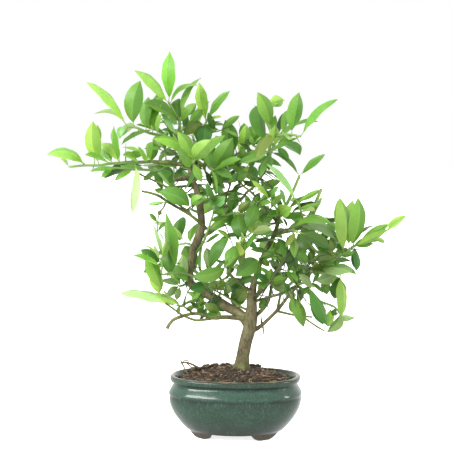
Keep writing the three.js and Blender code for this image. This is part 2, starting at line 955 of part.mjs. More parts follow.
// Skins a row of rings with equal counts. Where a ring has one point, the skin comes to a point there.
// The diagonals alternate round the ring, so that a thin blade is split alike on both faces.
function loft(rings) {
  const points = rings.flat();
  const faces = [];
  let start = 0;
  for (let i = 0; i + 1 < rings.length; i += 1) {
    const count = rings[i].length;
    const next = start + count;
    for (let j = 0; j < count; j += 1) {
      const k = (j + 1) % count;
      if (rings[i + 1].length === 1) {
        faces.push([start + j, start + k, next]);
      } else if (j % 2 === 0) {
        faces.push([start + j, start + k, next + k], [start + j, next + k, next + j]);
      } else {
        faces.push([start + j, start + k, next + j], [start + k, next + k, next + j]);
      }
    }
    start = next;
  }
  closeEnd(faces, 0, rings[0].length, true);
  const last = rings[rings.length - 1].length;
  closeEnd(faces, points.length - last, last, false);
  return solidOf(points, faces);
}

function closeEnd(faces, first, count, reversed) {
  for (let j = 1; j + 1 < count; j += 1) {
    const face = [first, first + j, first + j + 1];
    faces.push(reversed ? face.reverse() : face);
  }
}

// Directions along a route: at each point, the mean of the ways in and out.
function directions(points) {
  return points.map((point, i) => {
    const before = points[Math.max(0, i - 1)];
    const after = points[Math.min(points.length - 1, i + 1)];
    return after.clone().sub(before).normalize();
  });
}

// A tapering round stem through the given points. A margin makes it thicker and longer all round.
function stemSolid(points, radii, sides, margin = 0) {
  const ways = directions(points);
  let side = new THREE.Vector3(0, 1, 0).cross(ways[0]);
  if (side.length() < 0.2) {
    side = new THREE.Vector3(1, 0, 0).cross(ways[0]);
  }
  const rings = points.map((point, i) => {
    side = side.clone().addScaledVector(ways[i], -side.dot(ways[i])).normalize();
    const cross = new THREE.Vector3().crossVectors(ways[i], side);
    const centre = point.clone();
    if (i === 0) {
      centre.addScaledVector(ways[i], -margin);
    }
    if (i === points.length - 1) {
      centre.addScaledVector(ways[i], margin);
    }
    return Array.from({ length: sides }, (_, j) => {
      const angle = (2 * Math.PI * j) / sides;
      return centre
        .clone()
        .addScaledVector(side, (radii[i] + margin) * Math.cos(angle))
        .addScaledVector(cross, (radii[i] + margin) * Math.sin(angle));
    });
  });
  return loft(rings);
}

function boxOf(solid) {
  const { min, max } = solid.boundingBox();
  return new THREE.Box3(new THREE.Vector3(...min), new THREE.Vector3(...max));
}

// Pot

// A level oval ring of the pot, its feet or its drains, turned with the pot
function oval({ centre = [0, 0], height, halfWidth, halfDepth, segments, power }) {
  return Array.from({ length: segments }, (_, i) => {
    const angle = (2 * Math.PI * i) / segments;
    const x = Math.sign(Math.cos(angle)) * Math.abs(Math.cos(angle)) ** (2 / power);
    const y = Math.sign(Math.sin(angle)) * Math.abs(Math.sin(angle)) ** (2 / power);
    const point = new THREE.Vector3(centre[0] + halfWidth * x, centre[1] + halfDepth * y, height);
    return point.applyAxisAngle(UP, THREE.MathUtils.degToRad(POT.turnDegrees));
  });
}

function potRing([height, widthShare, depthShare], inset = 0) {
  const halfWidth = (POT.bodyWidth / 2) * widthShare - inset;
  const halfDepth = (POT.bodyDepth / 2) * depthShare - inset;
  return oval({ height, halfWidth, halfDepth, segments: POT.segments, power: POT.outlinePower });
}

// The outside row at any height, between the stated heights
function outsideAt(height) {
  const above = POT_OUTSIDE.findIndex((row) => row[0] >= height);
  if (above <= 0) {
    return [height, POT_OUTSIDE[0][1], POT_OUTSIDE[0][2]];
  }
  const [low, high] = [POT_OUTSIDE[above - 1], POT_OUTSIDE[above]];
  const share = (height - low[0]) / (high[0] - low[0]);
  return [height, low[1] + share * (high[1] - low[1]), low[2] + share * (high[2] - low[2])];
}

function innerRings(gap) {
  const walls = INNER_HEIGHTS.map((height) => potRing(outsideAt(height), POT.wall + gap));
  const floor = potRing(outsideAt(POT.floorTop), POT.wall + 2 + gap);
  floor.forEach((point) => point.setZ(POT.floorTop + gap));
  return [...walls, floor];
}

function makePot() {
  const outside = POT_OUTSIDE.map((row) => potRing(row));
  const inside = [potRing(INNER_LIP), ...innerRings(0)];
  let pot = loft([...outside, potRing(LIP_TOP), ...inside]);
  for (const [acrossSign, backSign] of [[1, 1], [1, -1], [-1, 1], [-1, -1]]) {
    pot = pot.add(footSolid([acrossSign * FOOT.across, backSign * FOOT.back]));
  }
  for (const side of [-1, 1]) {
    pot = pot.subtract(drainSolid([side * DRAIN.across, 0]));
  }
  return pot;
}

function footSolid(centre) {
  const rows = [[0, FOOT.roundedEdge], [FOOT.roundedEdge, 0], [POT.footHeight + FOOT.sunk, 0]];
  const rings = rows.map(([height, inset]) => {
    const halfWidth = FOOT.halfWidth - inset;
    const halfDepth = FOOT.halfDepth - inset;
    return oval({ centre, height, halfWidth, halfDepth, segments: FOOT.sides, power: FOOT.power });
  });
  return loft(rings);
}

function drainSolid(centre) {
  const rings = [POT.footHeight - 5, POT.floorTop + 5].map((height) => {
    const halfWidth = DRAIN.radius;
    return oval({ centre, height, halfWidth, halfDepth: halfWidth, segments: DRAIN.sides, power: 2 });
  });
  return loft(rings);
}

// Soil, which fills the pot and is heaped towards the trunk, with a plain hole where the trunk stands

function makeSoil(trunkFoot) {
  const body = innerRings(SOIL.gap).reverse();
  const edge = potRing(outsideAt(SOIL.edgeHeight - 2), POT.wall + SOIL.gap);
  edge.forEach((point) => point.setZ(SOIL.edgeHeight));
  const rings = [...body, edge];
  for (let i = 1; i < SOIL.rings; i += 1) {
    rings.push(heapRing(edge, 1 - i / SOIL.rings));
  }
  rings.push([new THREE.Vector3(0, 0, SOIL.crownHeight)]);
  return loft(rings).subtract(trunkFoot);
}

function heapRing(edge, share) {
  const rise = SOIL.crownHeight - SOIL.edgeHeight;
  return edge.map((point, i) => {
    const bump = SOIL.bump * Math.sin(5 * share + 2.1 * i) * Math.cos(1.3 * i - 4 * share);
    const height = SOIL.edgeHeight + rise * Math.cos((share * Math.PI) / 2) ** 0.8 + bump;
    return new THREE.Vector3(point.x * share, point.y * share, height);
  });
}

// Wood

// A limb through its rows. A thick limb is rounded through its points, a twig runs straight between them.
function limbSolid(name, margin = 0) {
  const rows = LIMBS[name];
  const points = rows.map((row) => seen(row));
  const radii = rows.map((row) => row[3]);
  const slender = Math.max(...radii) < TWIG_RADIUS ? LIMB_SIDES.twig : LIMB_SIDES.thin;
  const sides = THICK_LIMBS.includes(name) ? LIMB_SIDES.thick : slender;
  return stemSolid(points, radii, sides, margin);
}

function makeWood() {
  const names = Object.keys(LIMBS);
  return names.map((name) => limbSolid(name)).reduce((whole, limb) => whole.add(limb));
}

// Leaves

function stemPoints(shoot) {
  return shoot.stem.map((row) => seen(row));
}

function stemRadii(shoot) {
  const last = shoot.stem.length - 1;
  return shoot.stem.map((_, i) => THREE.MathUtils.lerp(shoot.radii[0], shoot.radii[1], i / last));
}

// A place on a stem, counted in its points
function pointOn(points, place) {
  const index = Math.min(Math.floor(place), points.length - 2);
  return points[index].clone().lerp(points[index + 1], place - index);
}

// The part of a vector that is square to a direction, at unit length
function squareTo(vector, way) {
  return vector.clone().addScaledVector(way, -vector.dot(way)).normalize();
}

// A leaf as drawn from the front, bent nearer or farther by whole steps
function drawnLeaf(points, row, step) {
  const [place, across, up, depth, seenWidth, bow, twist = 0] = row;
  const base = pointOn(points, place);
  const tip = seen([across, up, depth + step * DEPTH_STEP]);
  const way = tip.clone().sub(base);
  const length = way.length();
  way.normalize();
  const usual = twist === 0 ? LEAF.widthToLength * length : 0;
  const width = Math.max(Math.abs(seenWidth), usual);
  const facing = squareTo(EYE.clone().sub(base), way);
  const sideways = new THREE.Vector3().crossVectors(way, facing);
  const outward = 0.35 * Math.sign(base.x);
  const lift = Math.sign(sideways.z + outward * sideways.x) || 1;
  const tilt = Math.acos(Math.min(1, Math.abs(seenWidth) / width));
  const face = Math.sign(seenWidth);
  const toEye = facing.multiplyScalar(face * Math.cos(tilt));
  const aside = sideways.multiplyScalar(face * lift * Math.sin(tilt));
  const normal = toEye.clone().add(aside);
  const bend = new THREE.Vector3(-way.z, 0, way.x)
    .setLength(bow)
    .addScaledVector(toEye, LEAF.arch * length)
    .addScaledVector(aside, (-LEAF.edgeRise * width) / 2);
  return { base, tip, normal, width, bend, twist };
}

// A leaf set by rule: round the stem by the golden angle, lifted a little, its face turned up
function ruleLeaf(points, index, count, draws, step) {
  const place = (0.2 + (0.8 * (index + 1)) / count) * (points.length - 1);
  const base = pointOn(points, Math.min(place, points.length - 1));
  const along = directions(points)[Math.min(Math.round(place), points.length - 1)];
  const side = squareTo(new THREE.Vector3().crossVectors(along, UP), along);
  const over = new THREE.Vector3().crossVectors(side, along);
  const angle = THREE.MathUtils.degToRad(137.5 * index + 40 * draws[0] + TURN_STEP * step);
  const way = along
    .clone()
    .multiplyScalar(0.35 + 0.35 * draws[1])
    .addScaledVector(side, 0.85 * Math.cos(angle))
    .addScaledVector(over, 0.85 * Math.sin(angle))
    .addScaledVector(UP, 0.12)
    .normalize();
  const length = 42 + 22 * draws[2];
  const tip = base.clone().addScaledVector(way, length);
  const leaning = UP.clone().addScaledVector(side, 0.8 * (draws[3] - 0.5));
  const normal = squareTo(leaning.addScaledVector(along, 0.3), way);
  const width = length * (0.36 + 0.07 * draws[4]);
  const bend = normal.clone().multiplyScalar(1.3 * LEAF.arch * length);
  return { base, tip, normal, width, bend, twist: 0 };
}

// A blade folded lightly along its midrib, with a short petiole. The margin makes it larger all round.
function leafSolid(leaf, margin = 0, bladeOnly = false) {
  const length = leaf.base.distanceTo(leaf.tip);
  const control = leaf.base.clone().lerp(leaf.tip, 0.5).addScaledVector(leaf.bend, 2);
  const midrib = new THREE.QuadraticBezierCurve3(leaf.base, control, leaf.tip);
  const large = length > LARGE_LEAF || leaf.twist !== 0;
  const blade = large ? LARGE_STATIONS : SMALL_STATIONS;
  const petiole = LEAF.petioleRadius;
  const stations = [[0, petiole], ...blade.map(([share, width]) => [share, (width * leaf.width) / 2])];
  const rings = stations.slice(bladeOnly ? 1 : 0).map(([share, halfWidth]) => {
    const centre = midrib.getPoint(share);
    const way = midrib.getTangent(share);
    const turn = THREE.MathUtils.degToRad(leaf.twist * share ** 2);
    const turned = leaf.normal.clone().applyAxisAngle(way, turn);
    const normal = squareTo(turned, way);
    const side = new THREE.Vector3().crossVectors(way, normal);
    const reach = halfWidth + margin;
    const onBlade = halfWidth > petiole;
    const rise = onBlade ? LEAF.edgeRise * halfWidth : 0;
    const half = (onBlade ? LEAF.middleThickness / 2 : petiole) + margin;
    const left = centre.clone().addScaledVector(side, -reach).addScaledVector(normal, rise);
    const right = centre.clone().addScaledVector(side, reach).addScaledVector(normal, rise);
    const below = centre.clone().addScaledVector(normal, -half);
    return large ? [left, centre.clone().addScaledVector(normal, half), right, below] : [left, right, below];
  });
  const point = leaf.tip.clone().addScaledVector(midrib.getTangent(1), 2 * margin);
  return loft([...rings, [point]]);
}

function thornSolid(points, [place, ...tip]) {
  const base = pointOn(points, place);
  const end = seen(tip);
  const way = end.clone().sub(base).normalize();
  const side = squareTo(new THREE.Vector3(way.y, way.z, way.x), way);
  const ring = [0, 1, 2].map((j) => {
    return base.clone().addScaledVector(side.clone().applyAxisAngle(way, (2 * Math.PI * j) / 3), 0.8);
  });
  return loft([ring, [end]]);
}

// Everything that a leaf keeps clear of: its solid, its box and the node that it belongs to
const placed = [];

function place(node, solid) {
  placed.push({ node, solid, box: boxOf(solid) });
}

function isClear(node, leaf) {
  const whole = leafSolid(leaf, GAP);
  const blade = leafSolid(leaf, GAP, true);
  const box = boxOf(whole);
  return placed.every((other) => {
    if (!other.box.intersectsBox(box)) {
      return true;
    }
    const mine = other.node === node ? blade : whole;
    return mine.intersect(other.solid).isEmpty();
  });
}

// The first of a leaf's bends that is clear of everything placed before it, or none
function settled(node, candidate) {
  const step = TRIES.find((tried) => isClear(node, candidate(tried)));
  return step === undefined ? null : candidate(step);
}

// Numbers between 0 and 1 in a fixed order
function seededDraw(seed) {
  let state = seed;
  return () => {
    state = (state * 16807) % 2147483647;
    return state / 2147483647;
  };
}

function candidatesOf(shoot, draw) {
  const points = stemPoints(shoot);
  const drawn = (shoot.leaves ?? []).map((row) => (step) => drawnLeaf(points, row, step));
  const count = shoot.extra ?? 0;
  const byRule = Array.from({ length: count }, (_, index) => {
    const draws = [draw(), draw(), draw(), draw(), draw()];
    return (step) => ruleLeaf(points, index, count, draws, step);
  });
  return [...drawn, ...byRule];
}

// The green stems, each cut clear of the wood that bears it, with its thorns
function makeStem(shoot) {
  const points = stemPoints(shoot);
  let stem = stemSolid(points, stemRadii(shoot), STEM_SIDES);
  for (const thorn of shoot.thorns ?? []) {
    stem = stem.add(thornSolid(points, thorn));
  }
  for (const name of Object.keys(LIMBS)) {
    const cutter = limbSolid(name, GAP);
    if (boxOf(cutter).intersectsBox(boxOf(stem))) {
      stem = stem.subtract(cutter);
    }
  }
  return stem;
}

function makeShoots(wood) {
  place("trunk", wood);
  const whole = new Map();
  const grow = (name, solid) => {
    place(name, solid);
    whole.set(name, whole.has(name) ? whole.get(name).add(solid) : solid);
  };
  SHOOTS.forEach((shoot) => grow(shoot.name, makeStem(shoot)));
  const draw = seededDraw(RULE_SEED);
  for (const shoot of SHOOTS) {
    for (const candidate of candidatesOf(shoot, draw)) {
      const leaf = settled(shoot.name, candidate);
      if (leaf) {
        grow(shoot.name, leafSolid(leaf));
      }
    }
  }
  return whole;
}

// The scene graph

function meshOf(name, solid, finish) {
  const { vertProperties, triVerts } = solid.getMesh();
  const geometry = new THREE.BufferGeometry();
  geometry.setAttribute("position", new THREE.BufferAttribute(new Float32Array(vertProperties), 3));
  geometry.setIndex(new THREE.BufferAttribute(new Uint32Array(triVerts), 1));
  geometry.computeVertexNormals();
  const mesh = new THREE.Mesh(geometry, new THREE.MeshStandardMaterial(FINISHES[finish]));
  mesh.name = name;
  return mesh;
}

function makeTree() {
  const wood = makeWood();
  const tree = new THREE.Group();
  tree.add(meshOf("pot", makePot(), "glaze"));
  tree.add(meshOf("soil", makeSoil(limbSolid("trunk", GAP)), "soil"));
  tree.add(meshOf("trunk", wood, "bark"));
  for (const [name, solid] of makeShoots(wood)) {
    tree.add(meshOf(name, solid, "leaf"));
  }
  return tree;
}

// The origin is on the ground, below the middle of the whole object's box
const tree = makeTree();
const extent = new THREE.Box3().setFromObject(tree);
const middle = extent.getCenter(new THREE.Vector3());
tree.position.set(-middle.x, -middle.y, -extent.min.z);

export default tree;
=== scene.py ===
"""A limequat bonsai in an oval glazed pot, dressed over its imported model.

The tree's routes are the same lists as in the part's source. The leaves are read off the
packed shoots, and each is made again as a thin, veined blade in the same place. Fine twigs,
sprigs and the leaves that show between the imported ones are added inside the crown.
"""

import logging
import math
from dataclasses import dataclass, field
from enum import Enum
from random import Random
from typing import Any, Callable, Iterable, Sequence

import bmesh
import bpy
import numpy as np
from mathutils import Matrix, Vector, noise


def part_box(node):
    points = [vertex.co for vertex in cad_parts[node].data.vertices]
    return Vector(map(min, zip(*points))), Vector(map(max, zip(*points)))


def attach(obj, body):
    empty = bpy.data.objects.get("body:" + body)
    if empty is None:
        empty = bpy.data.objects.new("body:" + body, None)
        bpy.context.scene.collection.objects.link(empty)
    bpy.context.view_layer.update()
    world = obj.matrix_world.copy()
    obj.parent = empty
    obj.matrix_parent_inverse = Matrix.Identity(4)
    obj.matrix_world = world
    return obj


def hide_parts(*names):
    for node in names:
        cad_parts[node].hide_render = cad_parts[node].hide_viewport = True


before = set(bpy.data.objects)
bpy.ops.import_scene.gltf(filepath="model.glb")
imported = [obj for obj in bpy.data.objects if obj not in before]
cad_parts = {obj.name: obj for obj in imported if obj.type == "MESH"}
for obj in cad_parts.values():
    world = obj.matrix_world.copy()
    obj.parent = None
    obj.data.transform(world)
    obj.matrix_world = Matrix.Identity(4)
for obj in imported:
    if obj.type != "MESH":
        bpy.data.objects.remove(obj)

logging.basicConfig(level=logging.INFO, format="%(levelname)s %(message)s")
LOG = logging.getLogger("bonsai")

MM = 0.001
BODY = "root"
UP = Vector((0, 0, 1))
Row = Sequence[float]
Route = Sequence[Vector]
Routes = Sequence[Route]
Face = tuple[int, ...]
Rgb = tuple[float, float, float]
Object = bpy.types.Object
Material = bpy.types.Material
Socket = bpy.types.NodeSocket
WHITE: Rgb = (1.0, 1.0, 1.0)

# The eye from which the tree's places are written, relative to the middle of the pot
EYE = Vector((-12, -1800, 377)) * MM


def linear(red: int, green: int, blue: int) -> Rgb:
    """Turn a screen colour of three bytes into a linear one.

    Args:
        red: Red, 0 to 255.
        green: Green, 0 to 255.
        blue: Blue, 0 to 255.

    Returns:
        The linear red, green and blue, 0 to 1.
    """

    def channel(byte: int) -> float:
        """Give one linear channel."""
        share = byte / 255
        return share / 12.92 if share <= 0.04045 else ((share + 0.055) / 1.055) ** 2.4

    return channel(red), channel(green), channel(blue)


class Ground:
    """Where the pot's middle stands in the frame."""

    def __init__(self) -> None:
        """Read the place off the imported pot."""
        low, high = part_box("pot")
        self.origin = Vector(((low.x + high.x) / 2, (low.y + high.y) / 2, 0))

    def seen(self, row: Row) -> Vector:
        """Turn a place as seen from the front into a point in the frame.

        Args:
            row: Across, up and depth in millimetres.

        Returns:
            The point, in metres.
        """
        across, up, depth = (value * MM for value in row[:3])
        reach = 1 - depth / EYE.y
        return (Vector((across, 0, up)) - EYE) * reach + EYE + self.origin

    def unseen(self, point: Vector) -> tuple[float, float]:
        """Tell where a point is seen from the front.

        Args:
            point: The point in the frame.

        Returns:
            Its across and up, in millimetres.
        """
        local = point - self.origin
        reach = 1 - local.y / EYE.y
        flat = (local - EYE) / reach + EYE
        return flat.x / MM, flat.z / MM


GROUND = Ground()


# Routes of the tree, as in the part's source: across, up, depth, radius in millimetres

THICK_LIMBS: dict[str, list[Row]] = {
    "trunk": [
        [8, 56, 0, 10], [8, 84, 0, 12], [8.5, 93, 0, 9.8], [10, 104, 0, 8.6], [13, 120, 0, 8.3],
        [17, 134, 0, 8.7], [20, 150, 0, 8.6], [21, 166, 0, 7], [21, 180, -2, 6], [23, 192, -4, 4.7],
        [26, 205, -6, 3.5], [36, 233, -10, 3], [43, 246, -12, 3], [50, 259, -14, 3], [54, 272, -15, 2.8],
        [55, 284, -15, 2.2],
    ],
    "left_limb": [
        [15, 145, 0, 6.4], [6, 157, 2, 6.6], [-12, 167, 8, 6.4], [-30, 179, 13, 6.2], [-44, 187, 15, 6],
        [-57.5, 197, 15, 5.7], [-59, 209, 13, 5.4], [-56.5, 221, 10, 5.6], [-53, 240, 6, 5.8],
        [-46, 259, 3, 6], [-43, 273, 2, 4.6], [-45, 291, 4, 5], [-48, 312, 7, 4.4], [-55, 330, 9, 3.8],
        [-58, 346, 10, 3.1], [-57, 357, 10, 2.6],
    ],
    "crown_stub": [[-57, 332, 9, 3], [-69, 331, 2, 3.6], [-79, 330, -3, 3.2]],
    "front_leader": [[-58, 344, 10, 2.8], [-66, 366, 4, 2.4], [-74, 384, -4, 2]],
    "low_right_limb": [
        [18, 134, 0, 3], [28, 138, 2, 2.8], [40, 148, 4, 2.5], [54, 162, 8, 2.4], [68, 180, 12, 2.2],
        [80, 193, 15, 1.9], [84, 201, 16, 1.7], [91, 212, 18, 1.5],
    ],
}
TWIGS: dict[str, list[Row]] = {
    "rear_leader": [[-57, 352, 10, 2.4], [-48, 368, 18, 2.1], [-42, 384, 24, 1.8]],
    "crown_side": [[-57, 345, 10, 2.4], [-36, 350, 20, 2.1], [-17, 354, 28, 1.8]],
    "left_bough": [[-58, 345, 8, 2.4], [-68, 349, 3, 2.2], [-93, 352, -4, 2], [-109, 353, -6, 1.7]],
    "low_crown_twig": [
        [-51, 322, 8, 1.6], [-72, 321, -4, 1.4], [-87, 320, -9, 1.3], [-95, 325, -11, 1.2],
        [-103, 328, -13, 1.1], [-123, 337, -18, 0.9],
    ],
    "crossing_twig": [
        [-37, 267, 2, 1.9], [-47, 276, -8, 1.8], [-60, 286, -13, 1.6], [-72, 293, -17, 1.6],
        [-86, 301, -21, 1.5], [-98, 309, -25, 1.5], [-110, 313, -28, 1.4], [-120, 315, -30, 1.3],
    ],
    "crossing_fork": [[-57, 285, -12, 1.4], [-60, 289, -15, 1.3], [-68, 294.5, -18, 1.2], [-76, 300.5, -22, 1]],
    "bud_twig": [
        [-89, 302, -22, 1.1], [-91.5, 295, -24, 0.9], [-95, 290.5, -25, 0.9], [-96.8, 287.5, -25, 2.4],
        [-98, 284.5, -25, 1.1],
    ],
    "trunk_stub": [[-42, 257, 4, 2], [-32, 262, 5, 1.9], [-23, 268, 8, 1.7], [-13, 272, 11, 1.5]],
    "web_riser": [
        [-33, 262, 5, 1.5], [-22, 280, 14, 1.3], [-14, 296, 19, 1.2], [-11, 310, 21, 1.1],
        [-7, 322, 22, 1], [-5, 331, 23, 0.9],
    ],
    "web_cross": [
        [-46, 300, 5, 1.5], [-30, 307, 10, 1.3], [-14, 312, 12, 1.2], [1, 318, 12, 1.1],
        [10, 322, 11, 1], [20, 327, 10, 0.9],
    ],
    "web_back": [
        [54, 274, -15, 1.6], [42, 290, -10, 1.4], [35, 298, -7, 1.3], [22, 312, -2, 1.2],
        [10, 322, 1, 1.1], [0, 332, 4, 1],
    ],
    "right_crown_riser": [
        [-14, 296, 19, 1.4], [6, 303, -2, 1.4], [14, 313, -10, 1.4], [24, 321, -13, 1.4],
        [30, 330, -15, 1.4], [38, 341, -17, 1.4], [42, 361, -20, 1.3],
    ],
    "low_left_limb": [
        [12, 151, -3, 3], [-12, 153, -9, 2.4], [-28, 152, -12, 2.2], [-46, 157, -15, 1.9],
        [-58, 157, -17, 1.8], [-77, 151, -22, 1.9], [-84, 145, -24, 1.9], [-88, 138, -25, 2],
    ],
    "low_left_fork": [
        [-26, 152, -12, 1.7], [-46, 149, -21, 1.4], [-55, 150, -24, 1.3], [-69, 156, -28, 1.2],
        [-80, 164, -32, 1.1], [-90, 171, -35, 1],
    ],
    "low_left_twig": [[-54, 157, -17, 1.2], [-61, 163, -26, 1.1], [-69, 169, -32, 1]],
    "limb_shadow_twig": [
        [18, 161, -2, 1.5], [4, 168, -6, 1.3], [-6, 176, -3, 1.2], [-16, 182, 0, 1.1],
        [-27, 188, 2, 0.9],
    ],
    "centre_twig": [
        [21, 178, -2, 2.1], [30, 184, -6, 1.9], [40, 200, -12, 1.8], [52, 212, -17, 1.7],
        [59, 223, -21, 1.5], [67, 234, -25, 1.3],
    ],
    "low_twig": [
        [23, 173, -2, 1.7], [45, 179, -14, 1.5], [58, 183, -20, 1.4], [71, 190, -26, 1.3],
        [80, 195, -30, 1.2],
    ],
    "rear_twig": [
        [22, 152, 0, 2.3], [32, 160, 4, 2.2], [41, 171, 8, 2], [45, 184, 12, 1.8], [49, 205, 17, 1.6],
        [55, 216, 20, 1.4], [60, 224, 22, 1.2],
    ],
    "bare_twig": [[53, 161, 8, 1.5], [65, 158, 0, 1.3], [80, 155, -6, 1.2], [99, 153, -12, 1]],
    "bare_fork": [[86, 154, -8, 1.2], [103, 142, -16, 1], [115, 135, -22, 0.9]],
    "dead_twig_up": [[34, 143, 3, 1.1], [33, 153, -5, 0.8]],
    "dead_twig_down": [[35, 144, 3, 1.1], [37, 130, -6, 0.7]],
    "right_bough": [[51, 261, -14, 2.5], [68, 264, -10, 2.2], [82, 268, -6, 1.9], [90, 275, -4, 1.7]],
    "node_twig": [[22, 184, -3, 1.9], [4, 198, -12, 1.6], [-6, 208, -18, 1.5], [-6, 218, -20, 1.3]],
    "node_fork": [[-5, 208, -17, 1.2], [-17, 201, -22, 1], [-24, 196, -25, 0.9]],
}

